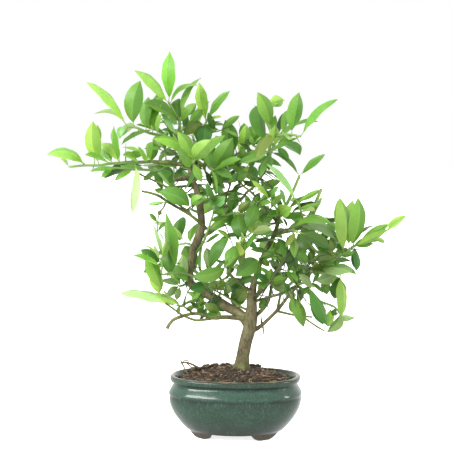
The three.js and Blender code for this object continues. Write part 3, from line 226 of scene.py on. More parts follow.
# Green stems: the shoot, its radii at foot and tip, its route, and its thorns with their place and tip
STEMS: list[tuple[str, tuple[float, float], list[Row], list[Row]]] = [
    (
        "shoot_left_tip", (1.5, 0.9),
        [
            [-109, 353, -6], [-121, 352, -9], [-135, 352, -12], [-148, 351, -15], [-162, 350, -18],
            [-174, 348, -20], [-192, 348, -22], [-212, 346, -24],
        ],
        [[2.4, -140, 378, -12], [0.4, -109, 376, -8], [5.4, -183, 339, -30]],
    ),
    (
        "shoot_left_under", (1.3, 0.8),
        [[-86, 351, -2], [-95, 342, 2], [-109, 342, 4], [-126, 343, 6], [-141, 344, 8], [-155, 345, 10]], [],
    ),
    (
        "shoot_upper_left", (1.4, 0.9),
        [
            [-71, 377, -1], [-90, 384, -18], [-100, 387, -30], [-109, 389, -40], [-119, 393, -52],
            [-126, 396, -60], [-138, 398, -68],
        ],
        [[4.5, -131, 381, -66], [1.2, -95, 373, -26]],
    ),
    (
        "shoot_top", (1.4, 1),
        [[-74, 383, -4], [-71, 402, -8], [-78, 416, -10], [-85, 428, -11]],
        [[1.4, -73, 411, -24]],
    ),
    ("shoot_rear_top", (1.6, 1), [[-42, 384, 24], [-40, 393, 28], [-37, 405, 32]], [[1, -29, 396, 20]]),
    (
        "shoot_crown_side", (1.6, 1),
        [[-17, 354, 28], [-4, 359, 33], [10, 367, 38], [19, 376, 43]],
        [[2.6, 3, 407, 34], [1.4, -1, 378, 24]],
    ),
    (
        "shoot_crown_front", (1.6, 1.1),
        [[-57, 348, 8], [-55, 351, -16], [-54, 352, -38], [-53, 353, -58]],
        [[2, -44, 340, -40]],
    ),
    ("shoot_crown_middle", (1.3, 0.9), [[-36, 350, 20], [-34, 346, 6], [-31, 343, -8], [-28, 342, -22]], []),
    (
        "shoot_upper_right", (1.5, 1),
        [[42, 361, -20], [44, 372, -24], [45, 386, -28], [45, 395, -30]],
        [[2.4, 58, 411, -44], [0.8, 56, 366, -30]],
    ),
    (
        "shoot_upper_right", (1.3, 0.9),
        [[45, 384, -27], [62, 387, -42], [72, 387, -54], [83, 385, -64]],
        [[2.5, 83, 375, -50]],
    ),
    (
        "shoot_upright", (1.6, 1.2),
        [[54, 276, -15], [59, 287, -12], [67, 301, -6], [75, 318, 0], [82, 335, 6]],
        [[3.8, 88, 331, 2]],
    ),
    ("shoot_long_strap", (1.2, 0.9), [[83, 268.8, -6], [86, 280, -18], [83, 292, -27], [80, 301, -32]], []),
    ("shoot_left_strap", (1.2, 0.9), [[55, 282, -15], [54, 290, -26], [45, 304, -32]], []),
    ("shoot_cut_high", (1.7, 1.4), [[89, 274, -4], [94, 282, 1], [101, 296, 4], [110, 318, 9]], []),
    (
        "shoot_cut_low", (1.5, 1.2),
        [[87, 272.3, -5], [96, 279, -13], [103, 292, -17], [110, 306, -20]],
        [[2.7, 115, 299, -18]],
    ),
    (
        "shoot_right_front", (1.5, 1),
        [[68, 264, -10], [71, 264, -26], [75, 264, -42], [80, 263, -56]],
        [[2.4, 86, 252, -50]],
    ),
    (
        "shoot_far_right", (1.6, 1.3),
        [
            [85, 270, -6], [88, 258, 2], [96, 246, 8], [105, 237, 12], [122, 232, 16], [137, 233, 19],
            [148, 241, 21],
        ],
        [[3.2, 123, 228, 0], [5.3, 142, 225, 26], [6, 180, 240.8, 34]],
    ),
    (
        "shoot_right_hanging", (1.4, 1),
        [[90, 210, 18], [97, 215, 12], [109, 213, 6], [122, 210, 2], [135, 208, -2]], [],
    ),
    (
        "shoot_right_tip", (1.3, 0.9),
        [[80, 193, 15], [90, 187, 26], [99, 180, 30], [110, 173, 28], [126, 167, 22], [133, 160, 16]],
        [[3.2, 121, 161, 34], [3, 124, 150.5, 30], [5, 124.5, 150.5, 26]],
    ),
    ("shoot_low_right", (1.3, 1), [[80, 195, -30], [88, 197, -34], [95, 195, -38], [101, 192, -40]], []),
    ("shoot_low_light", (1.2, 0.9), [[71, 190, -26], [70, 184, -36]], []),
    ("shoot_centre_right", (1.3, 0.9), [[67, 234, -25], [72, 240, -32], [76, 246, -42]], []),
    ("shoot_centre_limb", (1.2, 0.8), [[46, 252, -13], [50, 253, -26], [52, 253, -38]], []),
    (
        "shoot_left_hanging", (1.1, 0.8),
        [[52, 274, -15], [35, 271, -28], [22, 263, -40], [12, 255, -50], [1, 246, -58]], [],
    ),
    ("shoot_middle", (1.2, 0.9), [[35, 298, -7], [32, 300, -20], [28, 301, -34]], [[1, 38, 306, -20]]),
    ("shoot_web", (1, 0.8), [[22, 312, -2], [24, 314, -9]], []),
    ("shoot_middle_left", (1.3, 0.9), [[-22, 280, 14], [-14, 283, 2], [-6, 286, -12], [2, 288, -26]], []),
    (
        "shoot_inner", (1.2, 0.8),
        [[-50, 236, 3], [-42, 248, -9], [-36, 262, -13], [-32, 275, -15], [-28, 287, -16], [-27, 298, -17]],
        [[2.4, -25, 268, -22]],
    ),
    ("shoot_trunk_left", (1.3, 1), [[-45, 287, 4], [-53, 290, -9], [-56.5, 291.5, -18]], []),
    ("shoot_crossing", (1, 0.8), [[-86, 301, -21], [-90, 301, -29]], []),
    (
        "shoot_pale_front", (1.2, 0.8),
        [
            [-30, 181, 12], [-36, 192, -6], [-46, 201, -12], [-63, 209, -16], [-80, 211, -26],
            [-94, 208, -34], [-94, 218, -40], [-96, 228, -46],
        ],
        [[5, -101, 200, -38]],
    ),
    ("shoot_pale_front", (1, 0.8), [[-36, 192, -6], [-36, 203, -14], [-34, 212, -18]], []),
    ("shoot_limb_bend", (1.2, 0.9), [[-60, 198, 15], [-67, 194, 6], [-71, 193, -2]], []),
    (
        "shoot_left_low", (1.4, 0.9),
        [
            [-38, 181, 13], [-47, 175, 1], [-56, 174, -6], [-63, 171, -14], [-71, 167, -22],
            [-77, 174, -26], [-86, 180, -30], [-91, 186, -34],
        ],
        [[6, -89, 170, -26]],
    ),
    ("shoot_low_left_limb", (1.2, 0.9), [[-19, 153, -11], [-20, 159, -20]], []),
    ("shoot_node", (1.2, 0.9), [[-6, 216, -20], [-8, 220, -28], [-10, 220, -36]], [[1.6, -3, 232, -36]]),
    ("shoot_low_centre", (1.3, 0.9), [[23, 197, -4], [16, 201, 4], [11, 204, 10]], []),
    ("shoot_low_front", (1.1, 0.8), [[20, 172, 2], [16, 176, 10]], []),
    ("shoot_centre_left", (1.2, 0.9), [[34, 229, -9], [31, 229, -20]], []),
    ("shoot_low_fork", (1.2, 0.9), [[40, 200, -12], [44, 198, -24]], []),
    ("shoot_back_crown_left", (1.5, 0.9), [[-66, 366, 4], [-80, 380, 30], [-96, 390, 55], [-106, 396, 78]], []),
    (
        "shoot_back_crown_middle", (1.5, 0.9),
        [[-50, 365, 16], [-52, 376, 48], [-54, 384, 80], [-55, 388, 106]], [],
    ),
    ("shoot_back_crown_right", (1.4, 0.9), [[-19, 353, 27], [-8, 350, 54], [2, 350, 78], [8, 352, 98]], []),
    ("shoot_back_left", (1.3, 0.9), [[-93, 352, -4], [-104, 349, 28], [-116, 348, 56]], []),
    ("shoot_back_upper_right", (1.3, 0.9), [[40, 351, -18], [47, 368, 14], [52, 380, 42], [54, 386, 64]], []),
    ("shoot_back_centre", (1.4, 0.9), [[43, 246, -12], [36, 250, 22], [28, 254, 52], [20, 256, 78]], []),
    ("shoot_back_right", (1.4, 0.9), [[78, 267, -7], [88, 266, 28], [96, 258, 58], [102, 252, 84]], []),
    ("shoot_back_right_low", (1.4, 0.9), [[88, 208, 17], [97, 210, 48], [104, 214, 78], [108, 217, 102]], []),
    ("shoot_back_low_right", (1.3, 0.9), [[54, 162, 8], [58, 182, 38], [62, 196, 64]], []),
    ("shoot_back_low_left", (1.3, 0.9), [[-30, 179, 13], [-36, 194, 44], [-44, 204, 72]], []),
    ("shoot_back_left_middle", (1.3, 0.9), [[-52, 243, 5], [-62, 248, 36], [-74, 246, 64]], []),
    ("shoot_back_upper_middle", (1.3, 0.9), [[-46, 297, 5], [-34, 302, 38], [-22, 306, 68]], []),
]


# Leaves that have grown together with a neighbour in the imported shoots, and a few more of the inner ones:
# place on the first stem of the shoot, the tip's across, up and depth, the width seen and the bow
DRAWN_LEAVES: dict[str, list[Row]] = {
    "shoot_top": [[1, -71, 433, 6, 17, 3]],
    "shoot_crown_middle": [[1.6, -23, 313, -12, 3.5, 2.5]],
    "shoot_upper_right": [[0.5, 43, 341, -30, 9, 0], [1, 51, 400, -40, 10, 0]],
    "shoot_far_right": [[5.4, 98, 226, -8, 10, -1.5]],
    "shoot_right_hanging": [[1, 144.5, 212, -14, 8, 2.5]],
    "shoot_left_hanging": [[1.6, 14, 240, -64, 7, 0]],
    "shoot_inner": [[5, -12.5, 308, -44, 13, 0], [5, -35.5, 300.5, -40, 9, 0]],
    "shoot_low_left_limb": [[1, -40, 169, -34, 12, -0.5]],
}

# Sprigs inside the crown: across, up, depth and reach of the leaves in millimetres, and how many leaves
INNER_SPRIGS: list[Row] = [
    [-23, 391, 22, 17, 5], [-90, 366, 12, 16, 6], [-70, 362, 20, 16, 5], [-72, 343, 14, 17, 6],
    [-50, 362, 24, 17, 5], [-38, 338, 20, 19, 7], [-60, 314, 16, 16, 5], [-26, 322, 22, 16, 5],
    [2, 345, 20, 18, 6], [18, 348, 12, 18, 6], [8, 326, 16, 16, 5], [30, 318, 10, 15, 4],
    [45, 292, 14, 17, 5], [62, 285, 12, 15, 4], [20, 286, 20, 16, 4], [-92, 222, 2, 20, 6],
    [-76, 200, 8, 15, 4], [-36, 171, 6, 17, 6], [-16, 190, 6, 15, 5], [-30, 205, 10, 14, 4],
    [48, 232, 10, 17, 5], [62, 214, 8, 16, 5], [40, 196, 12, 14, 4], [98, 244, 14, 17, 6],
    [82, 226, 20, 17, 5], [112, 224, 16, 16, 5], [96, 196, 24, 15, 4], [132, 228, 14, 15, 4],
    [-100, 264, -2, 13, 3], [0, 236, 16, 15, 4], [14, 270, 14, 15, 4], [52, 372, 10, 16, 5],
    [24, 372, 20, 16, 5], [0, 374, 26, 16, 5], [-62, 398, 14, 17, 5], [-92, 404, 2, 15, 4],
]


class LeafTone(Enum):
    """The leaves' greens as linear colours: partly their own greens, partly painted light and shade, paler
    greens for lit leaves and darker ones, SHADE most of all, for shaded leaves.
    """

    PALE = linear(176, 206, 142)
    LIGHT = linear(158, 200, 94)
    YELLOW = linear(164, 198, 94)
    BRIGHT = linear(134, 190, 70)
    FRESH = linear(130, 180, 76)
    MID = linear(116, 165, 67)
    DEEP = linear(88, 139, 52)
    SHADE = linear(66, 104, 40)
    BLUE = linear(82, 141, 64)
    MINT = linear(150, 200, 128)
    SAGE = linear(136, 166, 104)
    OLIVE = linear(118, 143, 64)


# How often each green is drawn for a leaf without a mark
TONE_CHANCES: dict[LeafTone, float] = {
    LeafTone.LIGHT: 0.1,
    LeafTone.FRESH: 0.24,
    LeafTone.MID: 0.3,
    LeafTone.DEEP: 0.22,
    LeafTone.SHADE: 0.06,
    LeafTone.SAGE: 0.08,
}

# Leaves whose tone is marked, lighter or darker with the painted light or shade of each leaf as well as its own
# green, by tone: the tip's across and up in millimetres
TONE_MARKS: dict[LeafTone, tuple[Row, ...]] = {
    LeafTone.PALE: (
        (-180, 413.5), (-146.5, 390), (-132, 286), (68, 381), (154, 153), (-120, 246), (-106, 246),
        (-105, 272), (-151, 184), (-223.5, 361), (-68, 234),
    ),
    LeafTone.LIGHT: (
        (-128, 468.5), (-190, 454), (-192, 361.5), (-30, 381), (63, 431), (-44, 459), (136, 153),
        (-88, 252), (-181.5, 404), (-45.5, 453), (13.5, 400.5), (133.3, 306.7), (151, 303.5), (219, 283),
        (-103, 423), (-48, 450), (-54, 416), (-94, 413), (-132, 233), (-124.5, 372), (73, 294),
        (-18, 409.3), (-144, 361), (-170.5, 376.5), (-240.5, 361.6),
    ),
    LeafTone.YELLOW: ((6, 232), (20, 329), (51, 400)),
    LeafTone.BRIGHT: ((-155, 398.5), (-171.6, 332.6), (-94, 437), (-106, 382), (-154.6, 328.6), (-83.5, 493)),
    LeafTone.FRESH: (
        (-6.5, 443), (-50, 427), (-13, 386), (130, 432), (114.5, 362.5), (192, 250.6), (157, 307),
        (-74, 391), (-130, 360), (81.3, 441.2), (28, 441.3), (-4, 331), (-36, 306), (66, 418),
        (-113, 234), (-121, 456), (-82, 211),
    ),
    LeafTone.MID: (
        (59, 328.5), (28, 326), (-3.2, 383.5), (-13, 406), (-98, 314), (118, 183), (144.5, 212),
        (51, 237), (44, 219), (-116.5, 427), (-111, 435), (-89, 287), (-54, 206), (0, 206), (56, 321),
        (66, 204), (46, 217), (123, 273), (-4, 184), (-13.5, 225), (4, 351), (88, 140), (-3, 228),
        (-76, 368),
    ),
    LeafTone.DEEP: (
        (-71, 433), (30, 425), (31, 332), (43, 341), (118, 142), (11, 254.5), (3.7, 251), (-1, 314),
        (82.5, 172), (126, 154), (92, 222), (-7, 176), (46, 364), (47.5, 366), (-93, 317), (15, 268),
        (40, 380), (-36, 326), (41, 284), (-8, 256), (137, 188), (127.5, 176.5),
    ),
    LeafTone.SHADE: ((91, 237), (82, 228), (122, 241), (69, 214), (64, 222), (110, 252)),
    LeafTone.BLUE: ((-42, 371), (154, 212), (-58, 188), (-37.5, 238.5), (26, 209)),
    LeafTone.MINT: (
        (-147.5, 382), (-175, 369), (-12.5, 308), (-35.5, 300.5), (-95, 415), (40, 350), (56, 318),
        (-111.5, 297), (-86, 186),
    ),
    LeafTone.SAGE: (
        (98, 226), (103.5, 199.5), (117, 133), (81, 208.5), (85, 270), (149, 210), (-25, 227),
        (-76, 175), (-94, 199), (47, 266), (8, 215), (70, 192),
    ),
    LeafTone.OLIVE: (
        (-66.5, 385.5), (179.5, 270), (-13, 187), (19, 302), (-40, 169), (116, 219.5), (65, 243),
        (26, 357), (121, 257), (6, 218),
    ),
}


def stand(name: str, data: Any) -> Object:
    """Make an object of a mesh, a light or a camera, and put it into the scene.

    Args:
        name: The object's name.
        data: What it shows.

    Returns:
        The object.
    """
    thing = bpy.data.objects.new(name, data)
    bpy.context.scene.collection.objects.link(thing)
    return thing


class Mesher:
    """Collects points, faces and their colours, and makes one mesh object of them."""

    def __init__(self) -> None:
        """Start empty."""
        self.points: list[Vector] = []
        self.faces: list[Face] = []
        self.colors: list[Rgb] = []
        self.slots: list[int] = []
        self.uvs: list[list[tuple[float, float]]] = []

    def add(
        self,
        points: Sequence[Vector],
        faces: Iterable[Face],
        color: Rgb | Callable[[Face], Rgb],
        slot: int = 0,
        uv: Sequence[tuple[float, float]] | None = None,
    ) -> None:
        """Add one patch.

        Args:
            points: The patch's points.
            faces: Its faces, as indices into the points.
            color: One colour, or a function of the face that gives it.
            slot: The material slot of the faces.
            uv: One pair for each point, or none.
        """
        start = len(self.points)
        self.points.extend(points)
        for face in faces:
            self.faces.append(tuple(start + i for i in face))
            self.colors.append(color(face) if callable(color) else color)
            self.slots.append(slot)
            self.uvs.append([uv[i] if uv else (0.0, 0.0) for i in face])

    def build(self, name: str, materials: Sequence[Material]) -> Object:
        """Make the object.

        Args:
            name: The object's name.
            materials: The materials in slot order.

        Returns:
            The linked object, smooth shaded.
        """
        mesh = bpy.data.meshes.new(name)
        mesh.from_pydata([tuple(p) for p in self.points], [], self.faces)
        for material in materials:
            mesh.materials.append(material)
        counts = np.array([len(face) for face in self.faces])
        mesh.polygons.foreach_set("material_index", np.array(self.slots, np.int32))
        mesh.polygons.foreach_set("use_smooth", np.ones(len(self.faces), bool))
        tint = mesh.color_attributes.new("tint", "FLOAT_COLOR", "CORNER")
        rgba = np.ones((len(self.faces), 4), np.float32)
        rgba[:, :3] = np.array(self.colors, np.float32)
        tint.data.foreach_set("color", np.repeat(rgba, counts, axis=0).ravel())
        layer = mesh.uv_layers.new(name="blade")
        layer.data.foreach_set("uv", np.array([c for face in self.uvs for c in face], np.float32).ravel())
        mesh.update()
        return stand(name, mesh)


def smooth_route(rows: Sequence[Row], steps: int) -> tuple[list[Vector], list[float]]:
    """Round a route through its own points.

    Args:
        rows: Points as seen from the front, each with a radius last.
        steps: How many pieces each stretch is cut into.

    Returns:
        The points in metres and the radius at each.
    """
    points = [GROUND.seen(row) for row in rows]
    radii = [row[3] * MM for row in rows]
    out: list[Vector] = []
    widths: list[float] = []
    for i in range(len(points) - 1):
        before = points[max(0, i - 1)]
        after = points[min(len(points) - 1, i + 2)]
        for k in range(steps):
            t = k / steps
            out.append(catmull(before, points[i], points[i + 1], after, t))
            widths.append(radii[i] + (radii[i + 1] - radii[i]) * (t * t * (3 - 2 * t)))
    out.append(points[-1])
    widths.append(radii[-1])
    return out, widths


def catmull(a: Vector, b: Vector, c: Vector, d: Vector, t: float) -> Vector:
    """Give the point at share t between b and c on the curve through a, b, c and d."""
    return 0.5 * (
        2 * b + (c - a) * t + (2 * a - 5 * b + 4 * c - d) * t * t + (3 * b - a - 3 * c + d) * t**3
    )


def tube(points: Route, radii: Sequence[float], sides: int) -> tuple[list[Vector], list[Face]]:
    """Make a closed round tube along a route.

    Args:
        points: The route.
        radii: The radius at each point.
        sides: How many sides it has.

    Returns:
        Its points and faces.
    """
    verts: list[Vector] = []
    faces: list[Face] = []
    side = Vector((0, 1, 0))
    last = len(points) - 1
    for i, point in enumerate(points):
        way = (points[min(last, i + 1)] - points[max(0, i - 1)]).normalized()
        side = side - way * side.dot(way)
        if side.length < 1e-4:
            side = Vector((1, 0, 0)) - way * way.x
        side.normalize()
        over = way.cross(side)
        for j in range(sides):
            angle = 2 * math.pi * j / sides
            verts.append(point + (side * math.cos(angle) + over * math.sin(angle)) * radii[i])
        if i:
            for j in range(sides):
                k = (j + 1) % sides
                faces.append(((i - 1) * sides + j, (i - 1) * sides + k, i * sides + k, i * sides + j))
    faces.append(tuple(range(sides))[::-1])
    faces.append(tuple(range(last * sides, (last + 1) * sides)))
    return verts, faces


def oval(angle: float, power: float) -> tuple[float, float]:
    """Give the across and the depth, at an angle, on a squarish oval of half size 1.

    Args:
        angle: The angle.
        power: How square it is, from 2 for an ellipse.

    Returns:
        Across and depth, each -1 to 1.
    """
    x = math.copysign(abs(math.cos(angle)) ** (2 / power), math.cos(angle))
    y = math.copysign(abs(math.sin(angle)) ** (2 / power), math.sin(angle))
    return x, y


class Graph:
    """A material's nodes, added and linked by name."""

    def __init__(self, name: str) -> None:
        """Start a material with its output only.

        Args:
            name: The material's name.
        """
        self.material = bpy.data.materials.new(name)
        self.material.use_nodes = True
        self.tree = self.material.node_tree
        self.tree.nodes.clear()
        self.output = self.tree.nodes.new("ShaderNodeOutputMaterial")

    def add(self, kind: str, settings: dict[str, Any] | None = None, **sockets: Any) -> bpy.types.Node:
        """Add a node.

        Args:
            kind: The node's type, without its ShaderNode prefix.
            settings: Properties of the node.
            sockets: Values or links for its inputs, with _ for a space in a name, or i and a number.

        Returns:
            The node.
        """
        node = self.tree.nodes.new("ShaderNode" + kind)
        for key, value in (settings or {}).items():
            setattr(node, key, value)
        for key, value in sockets.items():
            name = key.replace("_", " ")
            numbered = name[0] == "i" and name[1:].isdigit()
            socket = node.inputs[int(name[1:])] if numbered else node.inputs[name]
            if isinstance(value, Socket):
                self.tree.links.new(value, socket)
            else:
                socket.default_value = value
        return node

    def ramp(self, factor: Socket, stops: Sequence[tuple[float, Rgb]]) -> Socket:
        """Add a colour ramp.

        Args:
            factor: What runs along it.
            stops: Its places from 0 to 1, each with its colour.

        Returns:
            The ramp's colour.
        """
        node = self.add("ValToRGB", i0=factor)
        ramp = node.color_ramp
        while len(ramp.elements) < len(stops):
            ramp.elements.new(1.0)
        for element, (place, color) in zip(ramp.elements, stops):
            element.position = place
            element.color = (*color, 1.0)
        return node.outputs[0]

    def noise(self, scale: float, detail: float = 4.0, where: Socket | None = None) -> Socket:
        """Add a noise texture in object space, in waves to the metre, and give its value."""
        place = where or self.add("TexCoord").outputs["Object"]
        return self.add("TexNoise", Vector=place, Scale=scale, Detail=detail).outputs[0]

    def mix(self, factor: Any, first: Any, second: Any, blend: str = "MIX") -> Socket:
        """Mix two colours and give the result."""
        node = self.add("Mix", {"data_type": "RGBA", "blend_type": blend}, i0=factor, i6=first, i7=second)
        return node.outputs[2]

    def math(self, operation: str, first: Any, second: Any = 0.0, third: Any = 0.0) -> Socket:
        """Add one step of arithmetic and give its value."""
        return self.add("Math", {"operation": operation}, i0=first, i1=second, i2=third).outputs[0]

    def band(self, value: Any, low: float, high: float) -> Socket:
        """Add a smooth step.

        Args:
            value: What is read.
            low: Where the step begins.
            high: Where it ends.

        Returns:
            0 below low and 1 above high, smooth between.
        """
        node = self.add("MapRange", {"interpolation_type": "SMOOTHSTEP"}, Value=value)
        node.inputs["From Min"].default_value = low
        node.inputs["From Max"].default_value = high
        return node.outputs[0]

    def bump(self, height: Socket, distance: float, strength: float = 1.0) -> Socket:
        """Add a bump of a given depth in metres and give the normal."""
        return self.add("Bump", Height=height, Distance=distance, Strength=strength).outputs[0]

    def tint(self) -> Socket:
        """Read the colour that each mesh carries."""
        return self.add("VertexColor", {"layer_name": "tint"}).outputs["Color"]

    def plain(self, color: Socket, roughness: float, normal: Socket) -> Material:
        """Finish a matt or satin surface and give the material."""
        body = self.add("BsdfPrincipled", Base_Color=color, Roughness=roughness, Normal=normal)
        return self.finish(body.outputs[0])

    def finish(self, surface: Socket) -> Material:
        """Link the surface to the output and give the material."""
        self.tree.links.new(surface, self.output.inputs["Surface"])
        return self.material


@dataclass(frozen=True)
class LeafFinish:
    """A satin leaf: tinted, veined, one half painted lighter and the other painted darker as light falls on a
    folded blade, and letting some light through.
    """

    name: str = "limequat_leaf"
    roughness: float = 0.4
    translucence: float = 0.42
    vein_count: float = 9.0
    mottle: float = 0.26
    painted_light_half: Rgb = (1.2, 1.11, 1.12)
    painted_shade_half: Rgb = (0.9, 0.93, 0.9)

    def make(self) -> Material:
        """Make the leaf material.

        Returns:
            The material.
        """
        graph = Graph(self.name)
        tint = graph.tint()
        uv = graph.add("UVMap", {"uv_map": "blade"}).outputs[0]
        split = graph.add("SeparateXYZ", Vector=uv)
        across = graph.math("ABSOLUTE", graph.math("MULTIPLY_ADD", split.outputs[0], 2.0, -1.0))
        midrib = graph.math("SUBTRACT", 1.0, graph.band(across, 0.02, 0.1))
        slant = graph.math("SUBTRACT", graph.math("MULTIPLY", split.outputs[1], self.vein_count), across)
        wave = graph.math("ABSOLUTE", graph.math("SINE", graph.math("MULTIPLY", slant, math.pi)))
        side_vein = graph.math("SUBTRACT", 1.0, graph.band(wave, 0.0, 0.3))
        veins = graph.math("MAXIMUM", midrib, graph.math("MULTIPLY", side_vein, 0.35))
        mottle = graph.noise(90.0, 3.0)
        foot = graph.math("SUBTRACT", 1.0, graph.band(split.outputs[1], 0.0, 0.45))
        warmer = graph.mix(1.0, tint, (1.3, 1.14, 0.95, 1.0), "MULTIPLY")
        shade = graph.mix(graph.math("MULTIPLY", foot, 0.6), tint, warmer)
        rim = graph.band(across, 0.86, 1.0)
        shade = graph.mix(graph.math("MULTIPLY", rim, 0.4), shade, warmer)
        # Painted light and shade: one half of each blade lighter and the other darker, as a folded leaf lit
        # from one side shows.
        side = graph.band(split.outputs[0], 0.45, 0.55)
        half = graph.mix(side, (*self.painted_light_half, 1.0), (*self.painted_shade_half, 1.0))
        shade = graph.mix(1.0, shade, half, "MULTIPLY")
        shade = graph.mix(graph.math("MULTIPLY", mottle, self.mottle), shade, (0.03, 0.07, 0.015, 1.0))
        lighter = graph.mix(1.0, shade, (1.45, 1.28, 1.5, 1.0), "MULTIPLY")
        color = graph.mix(graph.math("MULTIPLY", veins, 0.6), shade, lighter)
        normal = graph.bump(veins, 0.00018, 0.6)
        body = graph.add("BsdfPrincipled", Base_Color=color, Roughness=self.roughness, Normal=normal)
        through = graph.add("BsdfTranslucent", Color=color, Normal=normal)
        mixed = graph.add("MixShader", i0=self.translucence, i1=body.outputs[0], i2=through.outputs[0])
        return graph.finish(mixed.outputs[0])


@dataclass(frozen=True)
class StemFinish:
    """A young green stem, tinted along its length."""

    name: str = "green_stem"
    roughness: float = 0.5

    def make(self) -> Material:
        """Make the stem material.

        Returns:
            The material.
        """
        graph = Graph(self.name)
        tint = graph.tint()
        speck = graph.noise(700.0, 3.0)
        color = graph.mix(graph.math("MULTIPLY", speck, 0.3), tint, (0.05, 0.07, 0.02, 1.0))
        normal = graph.bump(speck, 0.0001, 0.5)
        return graph.plain(color, self.roughness, normal)


@dataclass(frozen=True)
class BarkFinish:
    """Matt olive grey-brown bark, mottled darker, with pale flecks."""

    name: str = "bark"
    roughness: float = 0.85
    dark: Rgb = linear(54, 49, 36)
    brown: Rgb = linear(101, 92, 66)
    olive: Rgb = linear(117, 114, 77)
    pale: Rgb = linear(152, 145, 114)

    def make(self) -> Material:
        """Make the bark material.

        Returns:
            The material.
        """
        graph = Graph(self.name)
        place = graph.add("TexCoord").outputs["Object"]
        stretched = graph.add("Mapping", Vector=place, Scale=(1.0, 1.0, 0.45)).outputs[0]
        broad = graph.noise(70.0, 5.0, stretched)
        fine = graph.noise(420.0, 6.0, stretched)
        flecks = graph.noise(900.0, 2.0, place)
        mixed = graph.math("ADD", graph.math("MULTIPLY", broad, 0.6), graph.math("MULTIPLY", fine, 0.4))
        stops = [(0.34, self.dark), (0.46, self.brown), (0.56, self.olive), (0.7, self.pale)]
        color = graph.ramp(mixed, stops)
        spots = graph.band(flecks, 0.62, 0.72)
        color = graph.mix(graph.math("MULTIPLY", spots, 0.5), color, (*self.dark, 1.0))
        tint = graph.tint()
        color = graph.mix(1.0, color, tint, "MULTIPLY")
        height = graph.math("ADD", fine, graph.math("MULTIPLY", flecks, 0.4))
        normal = graph.bump(height, 0.0006, 0.9)
        return graph.plain(color, self.roughness, normal)


@dataclass(frozen=True)
class GlazeFinish:
    """Glossy teal-green glaze, banded and speckled, with painted shade in the crease and neck groove and
    painted highlight on the crease's edge and shoulder, worn lighter at the lip.
    """

    name: str = "teal_glaze"
    roughness: float = 0.16
    pot_height: float = 79 * MM
    deep: Rgb = linear(20, 38, 30)
    teal: Rgb = linear(36, 60, 46)
    sea: Rgb = linear(44, 70, 54)
    bright: Rgb = linear(48, 82, 67)
    run: Rgb = linear(76, 100, 85)
    iron: Rgb = linear(44, 42, 32)
    worn: Rgb = linear(120, 112, 86)

    def make(self) -> Material:
        """Make the glaze material.

        Returns:
            The material.
        """
        graph = Graph(self.name)
        place = graph.add("TexCoord").outputs["Object"]
        height = graph.add("SeparateXYZ", Vector=place).outputs[2]
        wobble = graph.noise(60.0, 4.0, place)
        level = graph.math("ADD", height, graph.math("MULTIPLY", graph.math("SUBTRACT", wobble, 0.5), 0.005))
        share = graph.math("DIVIDE", level, self.pot_height)
        # By height: painted shade darkens the crease at 0.665 and the neck groove at 0.875, and painted
        # highlight lightens the crease's edge at 0.71 and the shoulder at 0.82; the glaze is also darker
        # towards the foot.
        stops = [
            (0.1, self.iron), (0.17, self.deep), (0.26, self.teal), (0.5, self.sea), (0.63, self.teal),
            (0.665, self.deep), (0.69, self.teal), (0.71, self.bright), (0.75, self.sea),
            (0.82, self.bright), (0.855, self.teal), (0.875, self.deep), (0.9, self.teal),
            (0.95, self.sea), (0.985, self.iron), (1.0, self.worn),
        ]
        color = graph.ramp(share, stops)
        clouds = graph.noise(70.0, 6.0, place)
        pools = graph.math("MULTIPLY", graph.band(clouds, 0.5, 0.7), 0.4)
        color = graph.mix(pools, color, (*self.bright, 1.0))
        mottled = graph.noise(520.0, 6.0, place)
        dark_spots = graph.math("MULTIPLY", graph.band(mottled, 0.44, 0.66), 0.6)
        color = graph.mix(dark_spots, color, (*self.deep, 1.0))
        drawn = graph.add("Mapping", Vector=place, Scale=(1.0, 1.0, 0.2)).outputs[0]
        runs = graph.math("MULTIPLY", graph.band(graph.noise(640.0, 4.0, drawn), 0.5, 0.68), 0.42)
        streaks = graph.math("MULTIPLY", runs, graph.band(clouds, 0.36, 0.56))
        color = graph.mix(streaks, color, (*self.run, 1.0))
        specks = graph.add("TexVoronoi", Vector=place, Scale=300.0).outputs["Distance"]
        speck = graph.math("SUBTRACT", 1.0, graph.band(specks, 0.1, 0.3))
        sparse = graph.band(graph.noise(110.0, 2.0, place), 0.5, 0.6)
        color = graph.mix(graph.math("MULTIPLY", speck, sparse), color, (*self.iron, 1.0))
        # Darker blots along the crease, painted shade in it.
        crease = graph.math("ABSOLUTE", graph.math("SUBTRACT", share, 0.68))
        near = graph.math("SUBTRACT", 1.0, graph.band(crease, 0.01, 0.045))
        blots = graph.band(graph.noise(170.0, 3.0, place), 0.48, 0.6)
        crease_shade = graph.math("MULTIPLY", graph.math("MULTIPLY", near, blots), 0.35)
        color = graph.mix(crease_shade, color, (*self.iron, 1.0))
        rough = graph.math("MULTIPLY_ADD", mottled, 0.18, self.roughness - 0.04)
        normal = graph.bump(graph.noise(75.0, 4.0, place), 0.0016, 0.4)
        body = graph.add(
            "BsdfPrincipled",
            Base_Color=color,
            Roughness=rough,
            Normal=normal,
            Specular_IOR_Level=0.32,
            Coat_Weight=0.3,
            Coat_Roughness=0.08,
        )
        return graph.finish(body.outputs[0])


@dataclass(frozen=True)
class ClayFinish:
    """Bare fired clay, where the glaze stops short of the feet."""

    name: str = "bare_clay"
    roughness: float = 0.8
    dark: Rgb = linear(47, 42, 34)
    light: Rgb = linear(86, 78, 64)

    def make(self) -> Material:
        """Make the clay material.

        Returns:
            The material.
        """
        graph = Graph(self.name)
        grain = graph.noise(500.0, 6.0)
        color = graph.ramp(grain, [(0.35, self.dark), (0.65, self.light)])
        normal = graph.bump(grain, 0.0004, 0.6)
        return graph.plain(color, self.roughness, normal)


